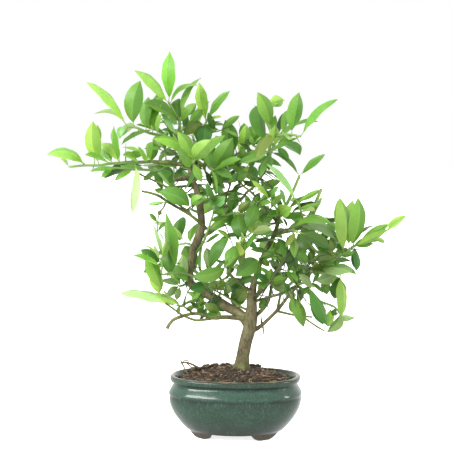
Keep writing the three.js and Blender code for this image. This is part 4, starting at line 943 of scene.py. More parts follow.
@dataclass(frozen=True)
class SoilFinish:
    """Dark crumbly soil, tinted crumb by crumb."""

    name: str = "soil"
    roughness: float = 0.95

    def make(self) -> Material:
        """Make the soil material.

        Returns:
            The material.
        """
        graph = Graph(self.name)
        tint = graph.tint()
        grain = graph.noise(900.0, 6.0)
        paler = graph.math("MULTIPLY", graph.band(grain, 0.4, 0.75), 0.6)
        color = graph.mix(paler, tint, (0.1, 0.075, 0.05, 1.0))
        normal = graph.bump(grain, 0.0008, 0.9)
        return graph.plain(color, self.roughness, normal)


@dataclass(frozen=True)
class FloorFinish:
    """A plain pale floor."""

    name: str = "pale_floor"
    color: Rgb = (0.95, 0.95, 0.95)
    glow: float = 0.75

    def make(self) -> Material:
        """Make the floor material.

        Returns:
            The material.
        """
        graph = Graph(self.name)
        body = graph.add("BsdfPrincipled", Base_Color=(*self.color, 1.0), Roughness=0.9)
        body.inputs["Emission Color"].default_value = (*WHITE, 1.0)
        body.inputs["Emission Strength"].default_value = self.glow
        return graph.finish(body.outputs[0])


def dress(piece: Object, slot: str, *nodes: str) -> None:
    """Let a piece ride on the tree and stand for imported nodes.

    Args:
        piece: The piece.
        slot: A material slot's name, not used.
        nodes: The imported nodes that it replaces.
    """
    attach(piece, BODY)
    if nodes:
        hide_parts(*nodes)
    LOG.info("%s: %d faces", piece.name, len(piece.data.polygons))


# The part's rules for a drawn leaf: its least width and its arch as shares of its length, the rise of
# its edges as a share of its width, and how much its outer side counts when one side is lifted
WIDTH_TO_LENGTH = 0.37
ARCH = 0.06
EDGE_RISE = 0.26
OUTER_SIDE = 0.35


@dataclass
class Blade:
    """One leaf, as read off a packed shoot."""

    base: Vector
    control: Vector
    tip: Vector
    half_width: float
    normals: list[tuple[float, Vector]]

    def point(self, t: float) -> Vector:
        """Give the midrib's point at share t."""
        return (1 - t) ** 2 * self.base + 2 * t * (1 - t) * self.control + t * t * self.tip

    def way(self, t: float) -> Vector:
        """Give the midrib's direction at share t."""
        return ((1 - t) * (self.control - self.base) + t * (self.tip - self.control)).normalized()

    def normal(self, t: float) -> Vector:
        """Give the upper face's direction.

        Args:
            t: The share of the midrib's length.

        Returns:
            The direction, square to the midrib.
        """
        low = self.normals[0]
        high = self.normals[-1]
        for first, second in zip(self.normals, self.normals[1:]):
            if first[0] <= t <= second[0]:
                low, high = first, second
        share = min(1.0, max(0.0, (t - low[0]) / max(1e-6, high[0] - low[0])))
        mixed = low[1].lerp(high[1], share)
        way = self.way(t)
        return (mixed - way * mixed.dot(way)).normalized()

    @property
    def length(self) -> float:
        """Give the distance from base to tip."""
        return (self.tip - self.base).length

    @classmethod
    def drawn(cls, route: Route, row: Row) -> "Blade":
        """Make a leaf from its row, as the part's source does.

        Args:
            route: The stem that it stands on.
            row: The place on the stem, the tip's across, up and depth, the width seen and the bow.

        Returns:
            The leaf.
        """
        place, across, up, depth, seen_width, bow = row
        index = min(int(place), len(route) - 2)
        base = route[index].lerp(route[index + 1], place - index)
        tip = GROUND.seen((across, up, depth))
        way = (tip - base).normalized()
        length = (tip - base).length
        width = max(seen_width * MM, WIDTH_TO_LENGTH * length)
        to_eye = EYE + GROUND.origin - base
        facing = (to_eye - way * to_eye.dot(way)).normalized()
        sideways = way.cross(facing)
        outward = math.copysign(OUTER_SIDE, base.x - GROUND.origin.x)
        lift = math.copysign(1.0, sideways.z + outward * sideways.x)
        tilt = math.acos(min(1.0, seen_width * MM / width))
        front = facing * math.cos(tilt)
        aside = sideways * (lift * math.sin(tilt))
        bowed = Vector((-way.z, 0, way.x)).normalized() * (bow * MM)
        bend = bowed + front * (ARCH * length) - aside * (EDGE_RISE / 2 * width)
        normal = (front + aside).normalized()
        return cls(base, (base + tip) / 2 + 2 * bend, tip, width / 2, [(0.3, normal), (0.8, normal)])


@dataclass
class BladeReader:
    """Finds the leaves in a packed shoot, whose blades are folded rings that end in a point."""

    large_shares: tuple[float, ...] = (0.3, 0.55, 0.8)
    large_widths: tuple[float, ...] = (0.8, 1.0, 0.68)
    small_shares: tuple[float, ...] = (0.36, 0.7)
    small_widths: tuple[float, ...] = (0.86, 0.86)
    half_thickness: float = 0.75 * MM
    least_width: float = 2.5 * MM
    most_width: float = 60 * MM
    stem_slack: float = 0.3 * MM

    def read(self, node: Object, stems: Routes) -> list[Blade]:
        """Read every leaf of a shoot.

        Args:
            node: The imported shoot.
            stems: The routes that its leaves stand on.

        Returns:
            The leaves, in the order of their vertices.
        """
        mesh = bmesh.new()
        mesh.from_mesh(node.data)
        bmesh.ops.remove_doubles(mesh, verts=mesh.verts, dist=5e-7)
        blades = []
        for vert in mesh.verts:
            blade = self.blade_at(vert)
            if blade and (nearest_on_routes(blade.base, stems) - blade.base).length < self.stem_slack:
                blades.append(blade)
        mesh.free()
        return blades

    def blade_at(self, tip: bmesh.types.BMVert) -> Blade | None:
        """Read the leaf that ends at a vertex.

        Args:
            tip: The vertex.

        Returns:
            The leaf, or None where there is none.
        """
        ring = {edge.other_vert(tip) for edge in tip.link_edges}
        if len(ring) not in (3, 4):
            return None
        shares = self.large_shares if len(ring) == 4 else self.small_shares
        widths = self.large_widths if len(ring) == 4 else self.small_widths
        known = {tip}
        sections = []
        for share in reversed(shares):
            section = self.section([vert.co.copy() for vert in ring])
            if section is None:
                return None
            sections.append((share, *section))
            known |= ring
            following = {edge.other_vert(vert) for vert in ring for edge in vert.link_edges} - known
            if share != shares[0] and len(following) != len(ring):
                return None
            ring = following
        sections.reverse()
        rows = np.array([[(1 - t) ** 2, 2 * t * (1 - t)] for t, *_ in sections])
        goal = np.array([list(centre - tip.co * (t * t)) for t, centre, _, _ in sections])
        base, control = np.linalg.lstsq(rows, goal, rcond=None)[0]
        half = sum(width / share for (_, _, width, _), share in zip(sections, widths)) / len(widths)
        normals = [(t, normal) for t, _, _, normal in sections]
        return Blade(Vector(base), Vector(control), tip.co.copy(), half, normals)

    def section(self, points: Sequence[Vector]) -> tuple[Vector, float, Vector] | None:
        """Read one ring of a blade.

        Args:
            points: The ring's three or four points.

        Returns:
            The midrib's point, the half width and the upper face's direction, or None.
        """
        pairs = [(a, b) for i, a in enumerate(points) for b in points[i + 1 :]]
        left, right = max(pairs, key=lambda pair: (pair[0] - pair[1]).length)
        width = (left - right).length
        if not self.least_width < width < self.most_width:
            return None
        rest = [point for point in points if point is not left and point is not right]
        middle = (left + right) / 2
        if len(rest) == 1:
            normal = (middle - rest[0]).normalized()
            return rest[0] + normal * self.half_thickness, width / 2, normal
        centre = (rest[0] + rest[1]) / 2
        normal = (rest[0] - rest[1]).normalized()
        if normal.dot(middle - centre) < 0:
            normal.negate()
        return centre, width / 2, normal


def nearest_on_routes(point: Vector, routes: Routes) -> Vector:
    """Find the point of any route that lies nearest to a point.

    Args:
        point: The point.
        routes: The routes, of straight stretches.

    Returns:
        The nearest point.
    """
    best = routes[0][0]
    for route in routes:
        for a, b in zip(route, route[1:]):
            along = b - a
            share = min(1.0, max(0.0, (point - a).dot(along) / along.length_squared))
            spot = a + along * share
            if (spot - point).length < (best - point).length:
                best = spot
    return best


@dataclass
class LeafMaker:
    """Makes a thin blade with a petiole along each read leaf."""

    rows: int = 16
    columns: tuple[float, ...] = (-1.0, -0.74, -0.44, -0.16, 0.0, 0.16, 0.44, 0.74, 1.0)
    petiole_share: float = 0.11
    petiole_radius: float = 0.62 * MM
    thickness: float = 0.34 * MM
    fold: float = 0.36
    edge_rise: float = 0.26
    fullness: float = 1.07
    upright: float = 0.45
    # Share of the half width at shares of the blade's length
    outline: tuple[tuple[float, float], ...] = (
        (0.0, 0.06), (0.05, 0.22), (0.12, 0.44), (0.2, 0.66), (0.3, 0.85), (0.42, 0.98), (0.52, 1.0),
        (0.62, 0.96), (0.72, 0.84), (0.82, 0.62), (0.9, 0.37), (0.96, 0.15), (1.0, 0.0),
    )

    def fold_of(self, blade: Blade, draw: Random) -> float:
        """Choose how a leaf is folded: upright ones with the midrib to the front, others either way.

        Args:
            blade: The leaf.
            draw: The source of chance.

        Returns:
            The fold as a share of the half width: above 0 the midrib is sunk, below 0 it stands out.
        """
        front = -1.0 if blade.normal(0.5).y < 0 else 1.0
        upright = abs(blade.way(0.5).z) > self.upright
        way = front if upright or draw.random() < 0.4 else 1.0
        return way * self.fold * draw.uniform(0.7, 1.15)

    def width_at(self, share: float) -> float:
        """Give the outline's half width at a share of the blade's length."""
        places, widths = zip(*self.outline)
        return float(np.interp(share, places, widths))

    def add(self, mesher: Mesher, blade: Blade, tone: Rgb, stem_tone: Rgb, draw: Random) -> None:
        """Add one leaf to a shoot's mesh.

        Args:
            mesher: The mesh in the making.
            blade: The leaf.
            tone: Its colour.
            stem_tone: Its petiole's colour.
            draw: The source of small differences.
        """
        ripple = draw.uniform(0.02, 0.06) * blade.half_width
        phase = draw.uniform(0, 2 * math.pi)
        waves = draw.uniform(1.5, 3.0)
        fold = self.fold_of(blade, draw)
        count = len(self.columns)
        top: list[Vector] = []
        low: list[Vector] = []
        uvs: list[tuple[float, float]] = []
        for i in range(self.rows + 1):
            share = i / self.rows
            t = self.petiole_share + (1 - self.petiole_share) * share
            centre = blade.point(t)
            way = blade.way(t)
            normal = blade.normal(t)
            side = way.cross(normal)
            half = blade.half_width * self.fullness * self.width_at(share)
            for v in self.columns:
                rise = half * (self.edge_rise + fold * (abs(v) ** 1.25 - 1))
                swing = waves * 2 * math.pi * share + phase + (math.pi if v < 0 else 0)
                wave = ripple * v * v * math.sin(swing)
                spot = centre + side * (half * v) + normal * (rise + wave)
                body = self.thickness * (1 - abs(v) ** 3)
                top.append(spot + normal * (body / 2))
                low.append(spot - normal * (body / 2))
                uvs.append((v / 2 + 0.5, share))
        faces = []
        for i in range(self.rows):
            for j in range(count - 1):
                a = i * count + j
                faces.append((a, a + count, a + count + 1, a + 1))
        under = tuple(0.006 + 1.12 * c for c in tone)
        mesher.add(top, [face[::-1] for face in faces], tone, 0, uvs)
        mesher.add(low, faces, under, 0, uvs)
        self.add_petiole(mesher, blade, stem_tone)

    def add_petiole(self, mesher: Mesher, blade: Blade, tone: Rgb) -> None:
        """Add the short stalk from the stem into the blade's foot.

        Args:
            mesher: The mesh in the making.
            blade: The leaf.
            tone: The stalk's colour.
        """
        shares = (0.0, 0.04, 0.08, 0.14, 0.24)
        points = [blade.point(t) for t in shares]
        radii = [self.petiole_radius * r for r in (1.25, 1.0, 0.9, 0.8, 0.35)]
        verts, faces = tube(points, radii, 6)
        mesher.add(verts, faces, tone, 1)


@dataclass
class Shoots:
    """The leafy shoots: green stems, thorns and leaves, one piece for each packed shoot."""

    leaf: Material
    stem: Material
    seed: int = 4127
    sides: int = 8
    young: Rgb = linear(142, 178, 92)
    older: Rgb = linear(98, 128, 64)
    thorn: Rgb = linear(112, 140, 84)
    stout: float = 1.5
    # A thorn's radii from foot to tip, in millimetres
    thorn_radii: tuple[float, ...] = (0.85, 0.7, 0.5, 0.3, 0.06)
    # How near its mark a leaf's tip has to be, in millimetres
    mark_reach: float = 4.0
    reader: BladeReader = field(default_factory=BladeReader)
    maker: LeafMaker = field(default_factory=LeafMaker)

    def build(self) -> list[Object]:
        """Make every shoot.

        Returns:
            The shoots' objects.
        """
        names = list(dict.fromkeys(name for name, *_ in STEMS))
        return [self.build_one(name) for name in names]

    def build_one(self, name: str) -> Object:
        """Make one shoot, with all the stems of its name.

        Args:
            name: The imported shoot's name.

        Returns:
            The shoot's object.
        """
        draw = Random(f"{self.seed}{name}")
        mesher = Mesher()
        routes = []
        for stem_name, radii, rows, thorns in STEMS:
            if stem_name == name:
                routes.append([GROUND.seen(row) for row in rows])
                self.add_stem(mesher, radii, rows)
                for row in thorns:
                    self.add_thorn(mesher, routes[-1], row)
        blades = self.reader.read(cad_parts[name], routes)
        blades += [Blade.drawn(routes[0], row) for row in DRAWN_LEAVES.get(name, [])]
        for blade in blades:
            tone = self.tone_of(blade, draw)
            self.maker.add(mesher, blade, tone, self.young, draw)
        piece = mesher.build(name + "_leaves", [self.leaf, self.stem])
        dress(piece, "leaf", name)
        LOG.info("%s has %d leaves", name, len(blades))
        return piece

    def add_stem(self, mesher: Mesher, radii: tuple[float, float], rows: Sequence[Row]) -> None:
        """Add one green stem, greener towards its tip.

        Args:
            mesher: The mesh in the making.
            radii: Its radii at foot and tip, in millimetres.
            rows: Its route.
        """
        last = len(rows) - 1
        foot, tip = radii
        wide = [[*row, self.stout * (foot + (tip - foot) * i / last)] for i, row in enumerate(rows)]
        points, widths = smooth_route(wide, 4)
        verts, faces = tube(points, widths, self.sides)
        count = len(points)

        def color(face: Face) -> Rgb:
            """Mix the older and the younger green along the stem."""
            share = face[0] / (count * self.sides)
            return tuple(a + (b - a) * share for a, b in zip(self.older, self.young))

        mesher.add(verts, faces, color, 1)

    def add_thorn(self, mesher: Mesher, route: Route, row: Row) -> None:
        """Add one thorn, a slim spike that bends a little upwards.

        Args:
            mesher: The mesh in the making.
            route: The stem that it stands on.
            row: Its place on the stem, and its tip's across, up and depth.
        """
        index = min(int(row[0]), len(route) - 2)
        base = route[index].lerp(route[index + 1], row[0] - index)
        tip = GROUND.seen(row[1:])
        bend = (base + tip) / 2 - UP * (0.04 * (tip - base).length)
        points = [base, base.lerp(bend, 0.5), bend, bend.lerp(tip, 0.6), tip]
        verts, faces = tube(points, [radius * MM for radius in self.thorn_radii], 6)
        mesher.add(verts, faces, self.thorn, 1)

    def tone_of(self, blade: Blade, draw: Random) -> Rgb:
        """Choose a leaf's green: its mark if it has one, or a draw.

        Args:
            blade: The leaf.
            draw: The source of chance.

        Returns:
            The colour, with a slight difference of its own.
        """
        across, up = GROUND.unseen(blade.tip)
        tone = draw.choices(list(TONE_CHANCES), list(TONE_CHANCES.values()))[0]
        least = self.mark_reach
        for marked, tips in TONE_MARKS.items():
            gap = min(math.hypot(tip[0] - across, tip[1] - up) for tip in tips)
            if gap < least:
                tone, least = marked, gap
        lift = draw.uniform(0.96, 1.18)
        warm = draw.uniform(0.92, 1.08)
        red, green, blue = tone.value
        return red * lift * warm, green * lift, blue * lift / warm


# Leaves seen between the imported ones, whose tone paints their light and shade as well as their green: foot
# across and up, tip across and up, seen width, all in millimetres
GAP_LEAVES: dict[LeafTone, tuple[Row, ...]] = {
    LeafTone.PALE: ((-44, 171, -53, 175, 4), (-127, 337, -132, 286, 9), (-128, 399, -147, 390, 9)),
    LeafTone.MINT: ((-147, 383, -138, 400, 8),),
    LeafTone.LIGHT: (
        (-193, 350, -217, 369, 9), (-180, 364, -176, 400, 13), (42, 425, 61, 432, 15),
        (134, 256, 131, 304, 14), (-97, 180, -105, 214, 16), (74, 182, 73, 158, 10),
        (123, 166, 119, 140, 11), (-70, 168, -106, 184, 9),
    ),
    LeafTone.YELLOW: ((178, 256, 192, 249, 6), (190, 267, 218, 284, 8)),
    LeafTone.FRESH: (
        (-141, 361, -118, 362, 9), (8, 262, 13, 238, 8), (46, 386, 51, 412, 8), (158, 251, 197, 273, 11),
        (-38, 262, -9, 281, 10), (-38, 170, -20, 158, 9), (78, 300, 109, 317, 7), (75, 290, 111, 299, 6),
    ),
    LeafTone.MID: (
        (-84, 313, -104, 317, 7), (12, 374, 11, 402, 13), (-66, 408, -50, 427, 9),
        (52, 285, 30, 270, 10), (64, 264, 90, 278, 8), (150, 240, 128, 238, 7), (-88, 301, -112, 298, 5),
        (-12, 216, 3, 232, 9), (29, 163, 41, 175, 10), (28, 186, 37, 198, 8), (112, 206, 118, 182, 12),
        (112, 268, 131, 270, 13), (152, 244, 177, 248, 7), (-52, 170, -63, 161, 6),
    ),
    LeafTone.DEEP: (
        (-58, 338, -80, 336, 9), (18, 350, 29, 334, 8), (16, 284, 32, 310, 11), (27, 299, 55, 320, 8),
        (52, 257, 68, 237, 10), (12, 251, 28, 243, 7), (-84, 205, -86, 242, 18), (-12, 205, -2, 222, 9),
        (26, 206, 5, 199, 11), (96, 187, 113, 143, 16), (-40, 173, -48, 157, 9),
    ),
    LeafTone.BLUE: ((152, 246, 156, 213, 11),),
    LeafTone.SAGE: (
        (-33, 213, -37, 243, 12), (-73, 194, -88, 180, 9), (50, 196, 68, 211, 12), (22, 268, 47, 272, 8),
        (-10, 197, -9, 183, 9),
    ),
    LeafTone.OLIVE: ((16, 193, 3, 173, 15),),
}

# Bare stems in front of the leaves: foot across and up, tip across and up, depth of the tip, width, all mm
FRONT_STEMS: tuple[Row, ...] = (
    (26, 172, 69, 236, -52, 2.2), (32, 178, 62, 228, -56, 1.8), (31, 174, 77, 190, -46, 2.2),
    (42, 162, 51, 216, -50, 1.4), (77, 190, 90, 223, -58, 1.6), (54, 277, -1, 327, -46, 1.6),
    (51, 276, 10, 246, -52, 1.4), (55, 264, 90, 273, -56, 2.2), (65, 275, 67, 238, -58, 1.2),
    (97, 228, 151, 244, -62, 1.3), (85, 223, 141, 233, -60, 1.2), (90, 223, 72, 213, -58, 1.1),
    (90, 223, 98, 206, -60, 1.1), (20, 187, -13, 210, -50, 1.6),
)


@dataclass
class InnerGrowth:
    """Fine twigs, sprigs and single leaves between the shoots, and the bare stems in front of them."""

    shoots: Shoots
    seed: int = 918
    # Parts of the crown with bare twigs: across from and to, up from and to, depth from and to, how many
    twig_parts: tuple[Row, ...] = (
        (-95, 5, 300, 372, -14, 34, 34), (-60, 0, 300, 350, -40, -20, 10),
        (28, 112, 165, 262, -48, -12, 34), (0, 60, 270, 340, -40, -10, 16),
        (-75, -5, 165, 225, -30, 20, 14),
    )
    # A front stem's places: share of its way, and how far it has come forward by then
    forward: tuple[tuple[float, float], ...] = ((0.2, 0.5), (0.4, 0.85), (0.7, 1.0), (1.0, 1.0))
    # Its thickness at its foot and at each of those places
    taper: tuple[float, ...] = (1.0, 0.95, 0.9, 0.75, 0.5)
    least_twig: float = 8 * MM
    # Radii from foot to tip, in millimetres
    twig_radii: tuple[float, ...] = (0.9, 0.8, 0.65, 0.35)
    sprig_radii: tuple[float, ...] = (0.95, 0.85, 0.75, 0.5)
    twig: Rgb = linear(74, 82, 50)
    sprig: Rgb = linear(104, 138, 64)

    def build(self) -> Object:
        """Make the single leaves, the sprigs, the front stems and the fine twigs as one piece.

        Returns:
            The object.
        """
        draw = Random(self.seed)
        wood = [[GROUND.seen(row) for row in rows] for rows in (*THICK_LIMBS.values(), *TWIGS.values())]
        grown = wood + [[GROUND.seen(row) for row in rows] for _, _, rows, _ in STEMS]
        mesher = Mesher()
        for tone, rows in GAP_LEAVES.items():
            for row in rows:
                self.add_leaf(mesher, grown, tone, row, draw)
        for row in INNER_SPRIGS:
            self.add_sprig(mesher, wood, row, draw)
        for row in FRONT_STEMS:
            self.add_stem(mesher, wood, row, draw)
        for part in self.twig_parts:
            for _ in range(int(part[6])):
                self.add_twig(mesher, wood, part, draw)
        piece = mesher.build("inner_growth", [self.shoots.leaf, self.shoots.stem])
        dress(piece, "leaf")
        return piece

    def spot_seen_near(self, routes: Routes, across: float, up: float) -> Vector:
        """Find the point of wood or stem that the photo shows nearest to a place.

        Args:
            routes: The wood and the stems.
            across: The place across, in millimetres.
            up: The place up, in millimetres.

        Returns:
            The point in the frame.
        """
        pairs = [pair for route in routes for pair in zip(route, route[1:])]
        spots = [a.lerp(b, share) for a, b in pairs for share in (0, 0.33, 0.67, 1)]
        seen = [GROUND.unseen(spot) for spot in spots]
        gaps = [math.hypot(place[0] - across, place[1] - up) for place in seen]
        return spots[gaps.index(min(gaps))]

    def add_leaf(
        self, mesher: Mesher, routes: Routes, tone: LeafTone, row: Row, draw: Random
    ) -> None:
        """Add one leaf that the photo shows between the others, on a short stalk from the nearest stem.

        Args:
            mesher: The mesh in the making.
            routes: The wood and the stems that it may grow from.
            tone: Its green.
            row: Its foot's and its tip's place, and its width.
            draw: The source of small differences.
        """
        spot = self.spot_seen_near(routes, row[0], row[1])
        depth = (spot - GROUND.origin).y / MM
        base = GROUND.seen((row[0], row[1], depth + 1))
        tip = GROUND.seen((row[2], row[3], depth + draw.uniform(2, 9)))
        way = (tip - base).normalized()
        rough = Vector((draw.uniform(-0.25, 0.25), -1.0, draw.uniform(0.0, 0.35)))
        normal = (rough - way * rough.dot(way)).normalized()
        control = (base + tip) / 2 + normal * (0.06 * (tip - base).length)
        verts, faces = tube([spot, spot.lerp(base, 0.5), base], [0.7 * MM, 0.65 * MM, 0.6 * MM], 6)
        mesher.add(verts, faces, self.shoots.young, 1)
        blade = Blade(base, control, tip, row[4] / 2 * MM, [(0.3, normal), (0.8, normal)])
        lift = draw.uniform(0.98, 1.14)
        self.shoots.maker.add(mesher, blade, tuple(c * lift for c in tone.value), self.shoots.young, draw)

    def add_stem(self, mesher: Mesher, wood: Routes, row: Row, draw: Random) -> None:
        """Draw one bare stem that the photo shows in front of the leaves.

        Args:
            mesher: The mesh in the making.
            wood: The routes that it may grow from.
            row: Its foot's and its tip's place, the depth of the tip and its width.
            draw: The source of small bends.
        """
        foot = self.spot_seen_near(wood, row[0], row[1])
        start = (foot - GROUND.origin).y / MM
        route = [foot]
        for share, forward in self.forward:
            across = row[0] + share * (row[2] - row[0]) + draw.uniform(-0.8, 0.8)
            up = row[1] + share * (row[3] - row[1]) + draw.uniform(-0.8, 0.8)
            route.append(GROUND.seen((across, up, start + forward * (row[4] - start))))
        stout = row[5] / 2 * MM
        verts, faces = tube(route, [share * stout for share in self.taper], 7)
        mesher.add(verts, faces, self.twig, 1)

    def add_sprig(self, mesher: Mesher, wood: Routes, row: Row, draw: Random) -> None:
        """Grow one sprig from the nearest wood and set its leaves round it.

        Args:
            mesher: The mesh in the making.
            wood: The routes that it may grow from.
            row: Its middle's place, its reach and its number of leaves.
            draw: The source of chance.
        """
        middle = GROUND.seen(row)
        foot = nearest_on_routes(middle, wood)
        end = middle + (middle - foot).normalized() * (0.4 * row[3] * MM)
        sag = foot.lerp(middle, 0.5) + UP * (draw.uniform(-0.1, 0.2) * (middle - foot).length)
        route = [foot, sag, middle, end]
        verts, faces = tube(route, [radius * MM for radius in self.sprig_radii], 6)
        mesher.add(verts, faces, self.sprig, 1)
        count = int(row[4])
        for i in range(count):
            base = sag.lerp(middle, draw.random()) if i % 2 else middle.lerp(end, draw.random())
            angle = 2 * math.pi * (i + 0.7 * draw.random()) / count
            way = Vector((math.cos(angle), draw.uniform(-0.5, 0.5), math.sin(angle) + 0.15)).normalized()
            length = row[3] * MM * draw.uniform(1.1, 1.9)
            tip = base + way * length
            rough = Vector((draw.uniform(-0.7, 0.7), draw.uniform(-1.1, -0.1), draw.uniform(0.1, 1.0)))
            normal = (rough - way * rough.dot(way)).normalized()
            control = (base + tip) / 2 + normal * (0.14 * length)
            half = length * draw.uniform(0.14, 0.2)
            blade = Blade(base, control, tip, half, [(0.3, normal), (0.8, normal)])
            self.shoots.maker.add(mesher, blade, self.shoots.tone_of(blade, draw), self.sprig, draw)

    def add_twig(self, mesher: Mesher, wood: Routes, part: Row, draw: Random) -> None:
        """Grow one fine bare twig in a part of the crown.

        Args:
            mesher: The mesh in the making.
            wood: The routes that it may grow from.
            part: The part of the crown.
            draw: The source of chance.
        """
        spot = GROUND.seen([draw.uniform(low, high) for low, high in zip(part[0:6:2], part[1:6:2])])
        foot = nearest_on_routes(spot, wood)
        way = spot - foot
        if way.length < self.least_twig:
            return
        stray = Vector((draw.uniform(-1, 1), draw.uniform(-1, 1), draw.uniform(-1, 1)))
        middle = foot.lerp(spot, 0.5) + stray * (0.12 * way.length)
        end = spot + way.normalized() * draw.uniform(4, 16) * MM
        verts, faces = tube([foot, middle, spot, end], [radius * MM for radius in self.twig_radii], 5)
        mesher.add(verts, faces, draw.choice((self.twig, self.sprig)), 1)


@dataclass
class Wood:
    """The trunk with its limbs, and the twigs."""

    bark: Material
    voxel: float = 0.75 * MM
    relief: float = 0.45 * MM
    sides: int = 16
    twig_sides: int = 8
    twig_stout: float = 1.2
    # Root ridges: which way they run, in degrees, and how far, in millimetres
    flares: tuple[Row, ...] = ((-75, 14), (-20, 12), (40, 14), (100, 13), (160, 12), (215, 12))
    foot_green: Rgb = (0.62, 0.74, 0.52)
    young_green: Rgb = (0.62, 0.92, 0.5)
    twig_green: Rgb = (0.86, 1.28, 0.6)

    def build(self) -> list[Object]:
        """Make the trunk and the twigs.

        Returns:
            Both objects.
        """
        return [self.build_trunk(), self.build_twigs()]

    def build_trunk(self) -> Object:
        """Join the thick limbs into one skin and give it the bark's relief.

        Returns:
            The object.
        """
        mesher = Mesher()
        for rows in THICK_LIMBS.values():
            points, radii = smooth_route(rows, 6)
            verts, faces = tube(points, radii, self.sides)
            mesher.add(verts, faces, WHITE)
        for verts, faces in self.root_flare():
            mesher.add(verts, faces, WHITE)
        rough = mesher.build("trunk_rough", [self.bark])
        remesh = rough.modifiers.new("skin", "REMESH")
        remesh.mode = "VOXEL"
        remesh.voxel_size = self.voxel
        smooth = rough.modifiers.new("soften", "SMOOTH")
        smooth.factor = 0.5
        smooth.iterations = 4
        graph = bpy.context.evaluated_depsgraph_get()
        mesh = bpy.data.meshes.new_from_object(rough.evaluated_get(graph))
        bpy.data.objects.remove(rough)
        self.carve(mesh)
        mesh.materials.clear()
        mesh.materials.append(self.bark)
        mesh.polygons.foreach_set("use_smooth", np.ones(len(mesh.polygons), bool))
        self.tint(mesh)
        piece = stand("trunk_and_limbs", mesh)
        dress(piece, "bark", "trunk")
        return piece

    def root_flare(self) -> list[tuple[list[Vector], list[Face]]]:
        """Make the low ridges with which the trunk spreads into the soil.

        Returns:
            Each ridge's points and faces.
        """
        made = []
        for degrees, reach in self.flares:
            angle = math.radians(degrees)
            across, back = math.cos(angle), math.sin(angle)
            rows = [
                [8.5 + 3.6 * across, 101, 3.6 * back, 4.3],
                [8.3 + 6.3 * across, 92, 6.3 * back, 3.6],
                [8 + 0.62 * reach * across, 87, 0.62 * reach * back, 2.9],
                [8 + reach * across, 83, reach * back, 2.0],
            ]
            points, radii = smooth_route(rows, 4)
            made.append(tube(points, radii, 10))
        return made

    def carve(self, mesh: bpy.types.Mesh) -> None:
        """Move the skin's points in and out, as bark stands in low ridges and pits.

        Args:
            mesh: The trunk's skin.
        """
        count = len(mesh.vertices)
        points = np.zeros(count * 3)
        normals = np.zeros(count * 3)
        mesh.vertices.foreach_get("co", points)
        mesh.vertices.foreach_get("normal", normals)
        points = points.reshape(-1, 3)
        normals = normals.reshape(-1, 3)
        heights = np.empty(count)
        for i, (x, y, z) in enumerate(points):
            broad = noise.noise((x * 130, y * 130, z * 60))
            fine = noise.noise((x * 420, y * 420, z * 170))
            heights[i] = 0.65 * broad + 0.35 * fine
        points += normals * (heights * self.relief)[:, None]
        mesh.vertices.foreach_set("co", points.ravel())
        mesh.update()

    def tint(self, mesh: bpy.types.Mesh) -> None:
        """Darken the foot of the trunk and turn it green, and the young wood high on the right as well.

        Args:
            mesh: The trunk's skin.
        """
        points = np.zeros(len(mesh.vertices) * 3)
        mesh.vertices.foreach_get("co", points)
        across, _, up = points.reshape(-1, 3).T
        # The foot's green fades out by 114 mm up, and the young wood's comes in from 190 to 240 mm
        share = np.clip((up - 84 * MM) / (30 * MM), 0, 1)[:, None]
        high = np.clip((up - 190 * MM) / (50 * MM), 0, 1)
        right = np.clip((across - 15 * MM) / (10 * MM), 0, 1)
        young = (high * right)[:, None]
        rgba = np.ones((len(up), 4), np.float32)
        rgba[:, :3] = np.array(self.foot_green) * (1 - share) + share
        rgba[:, :3] *= np.array(self.young_green) * young + 1 - young
        layer = mesh.color_attributes.new("tint", "FLOAT_COLOR", "POINT")
        layer.data.foreach_set("color", rgba.ravel())

    def build_twigs(self) -> Object:
        """Make every twig, greener where it is thin.

        Returns:
            The object.
        """
        mesher = Mesher()
        for rows in TWIGS.values():
            points, radii = smooth_route(rows, 4)
            knobbly = [r * self.twig_stout * (1 + 0.1 * noise.noise(p * 260)) for p, r in zip(points, radii)]
            verts, faces = tube(points, knobbly, self.twig_sides)
            share = min(1.0, max(0.0, (3.4 * MM - max(radii)) / (1.4 * MM)))
            tone = tuple(1 + (g - 1) * share for g in self.twig_green)
            mesher.add(verts, faces, tone)
        piece = mesher.build("twigs", [self.bark])
        dress(piece, "bark")
        return piece


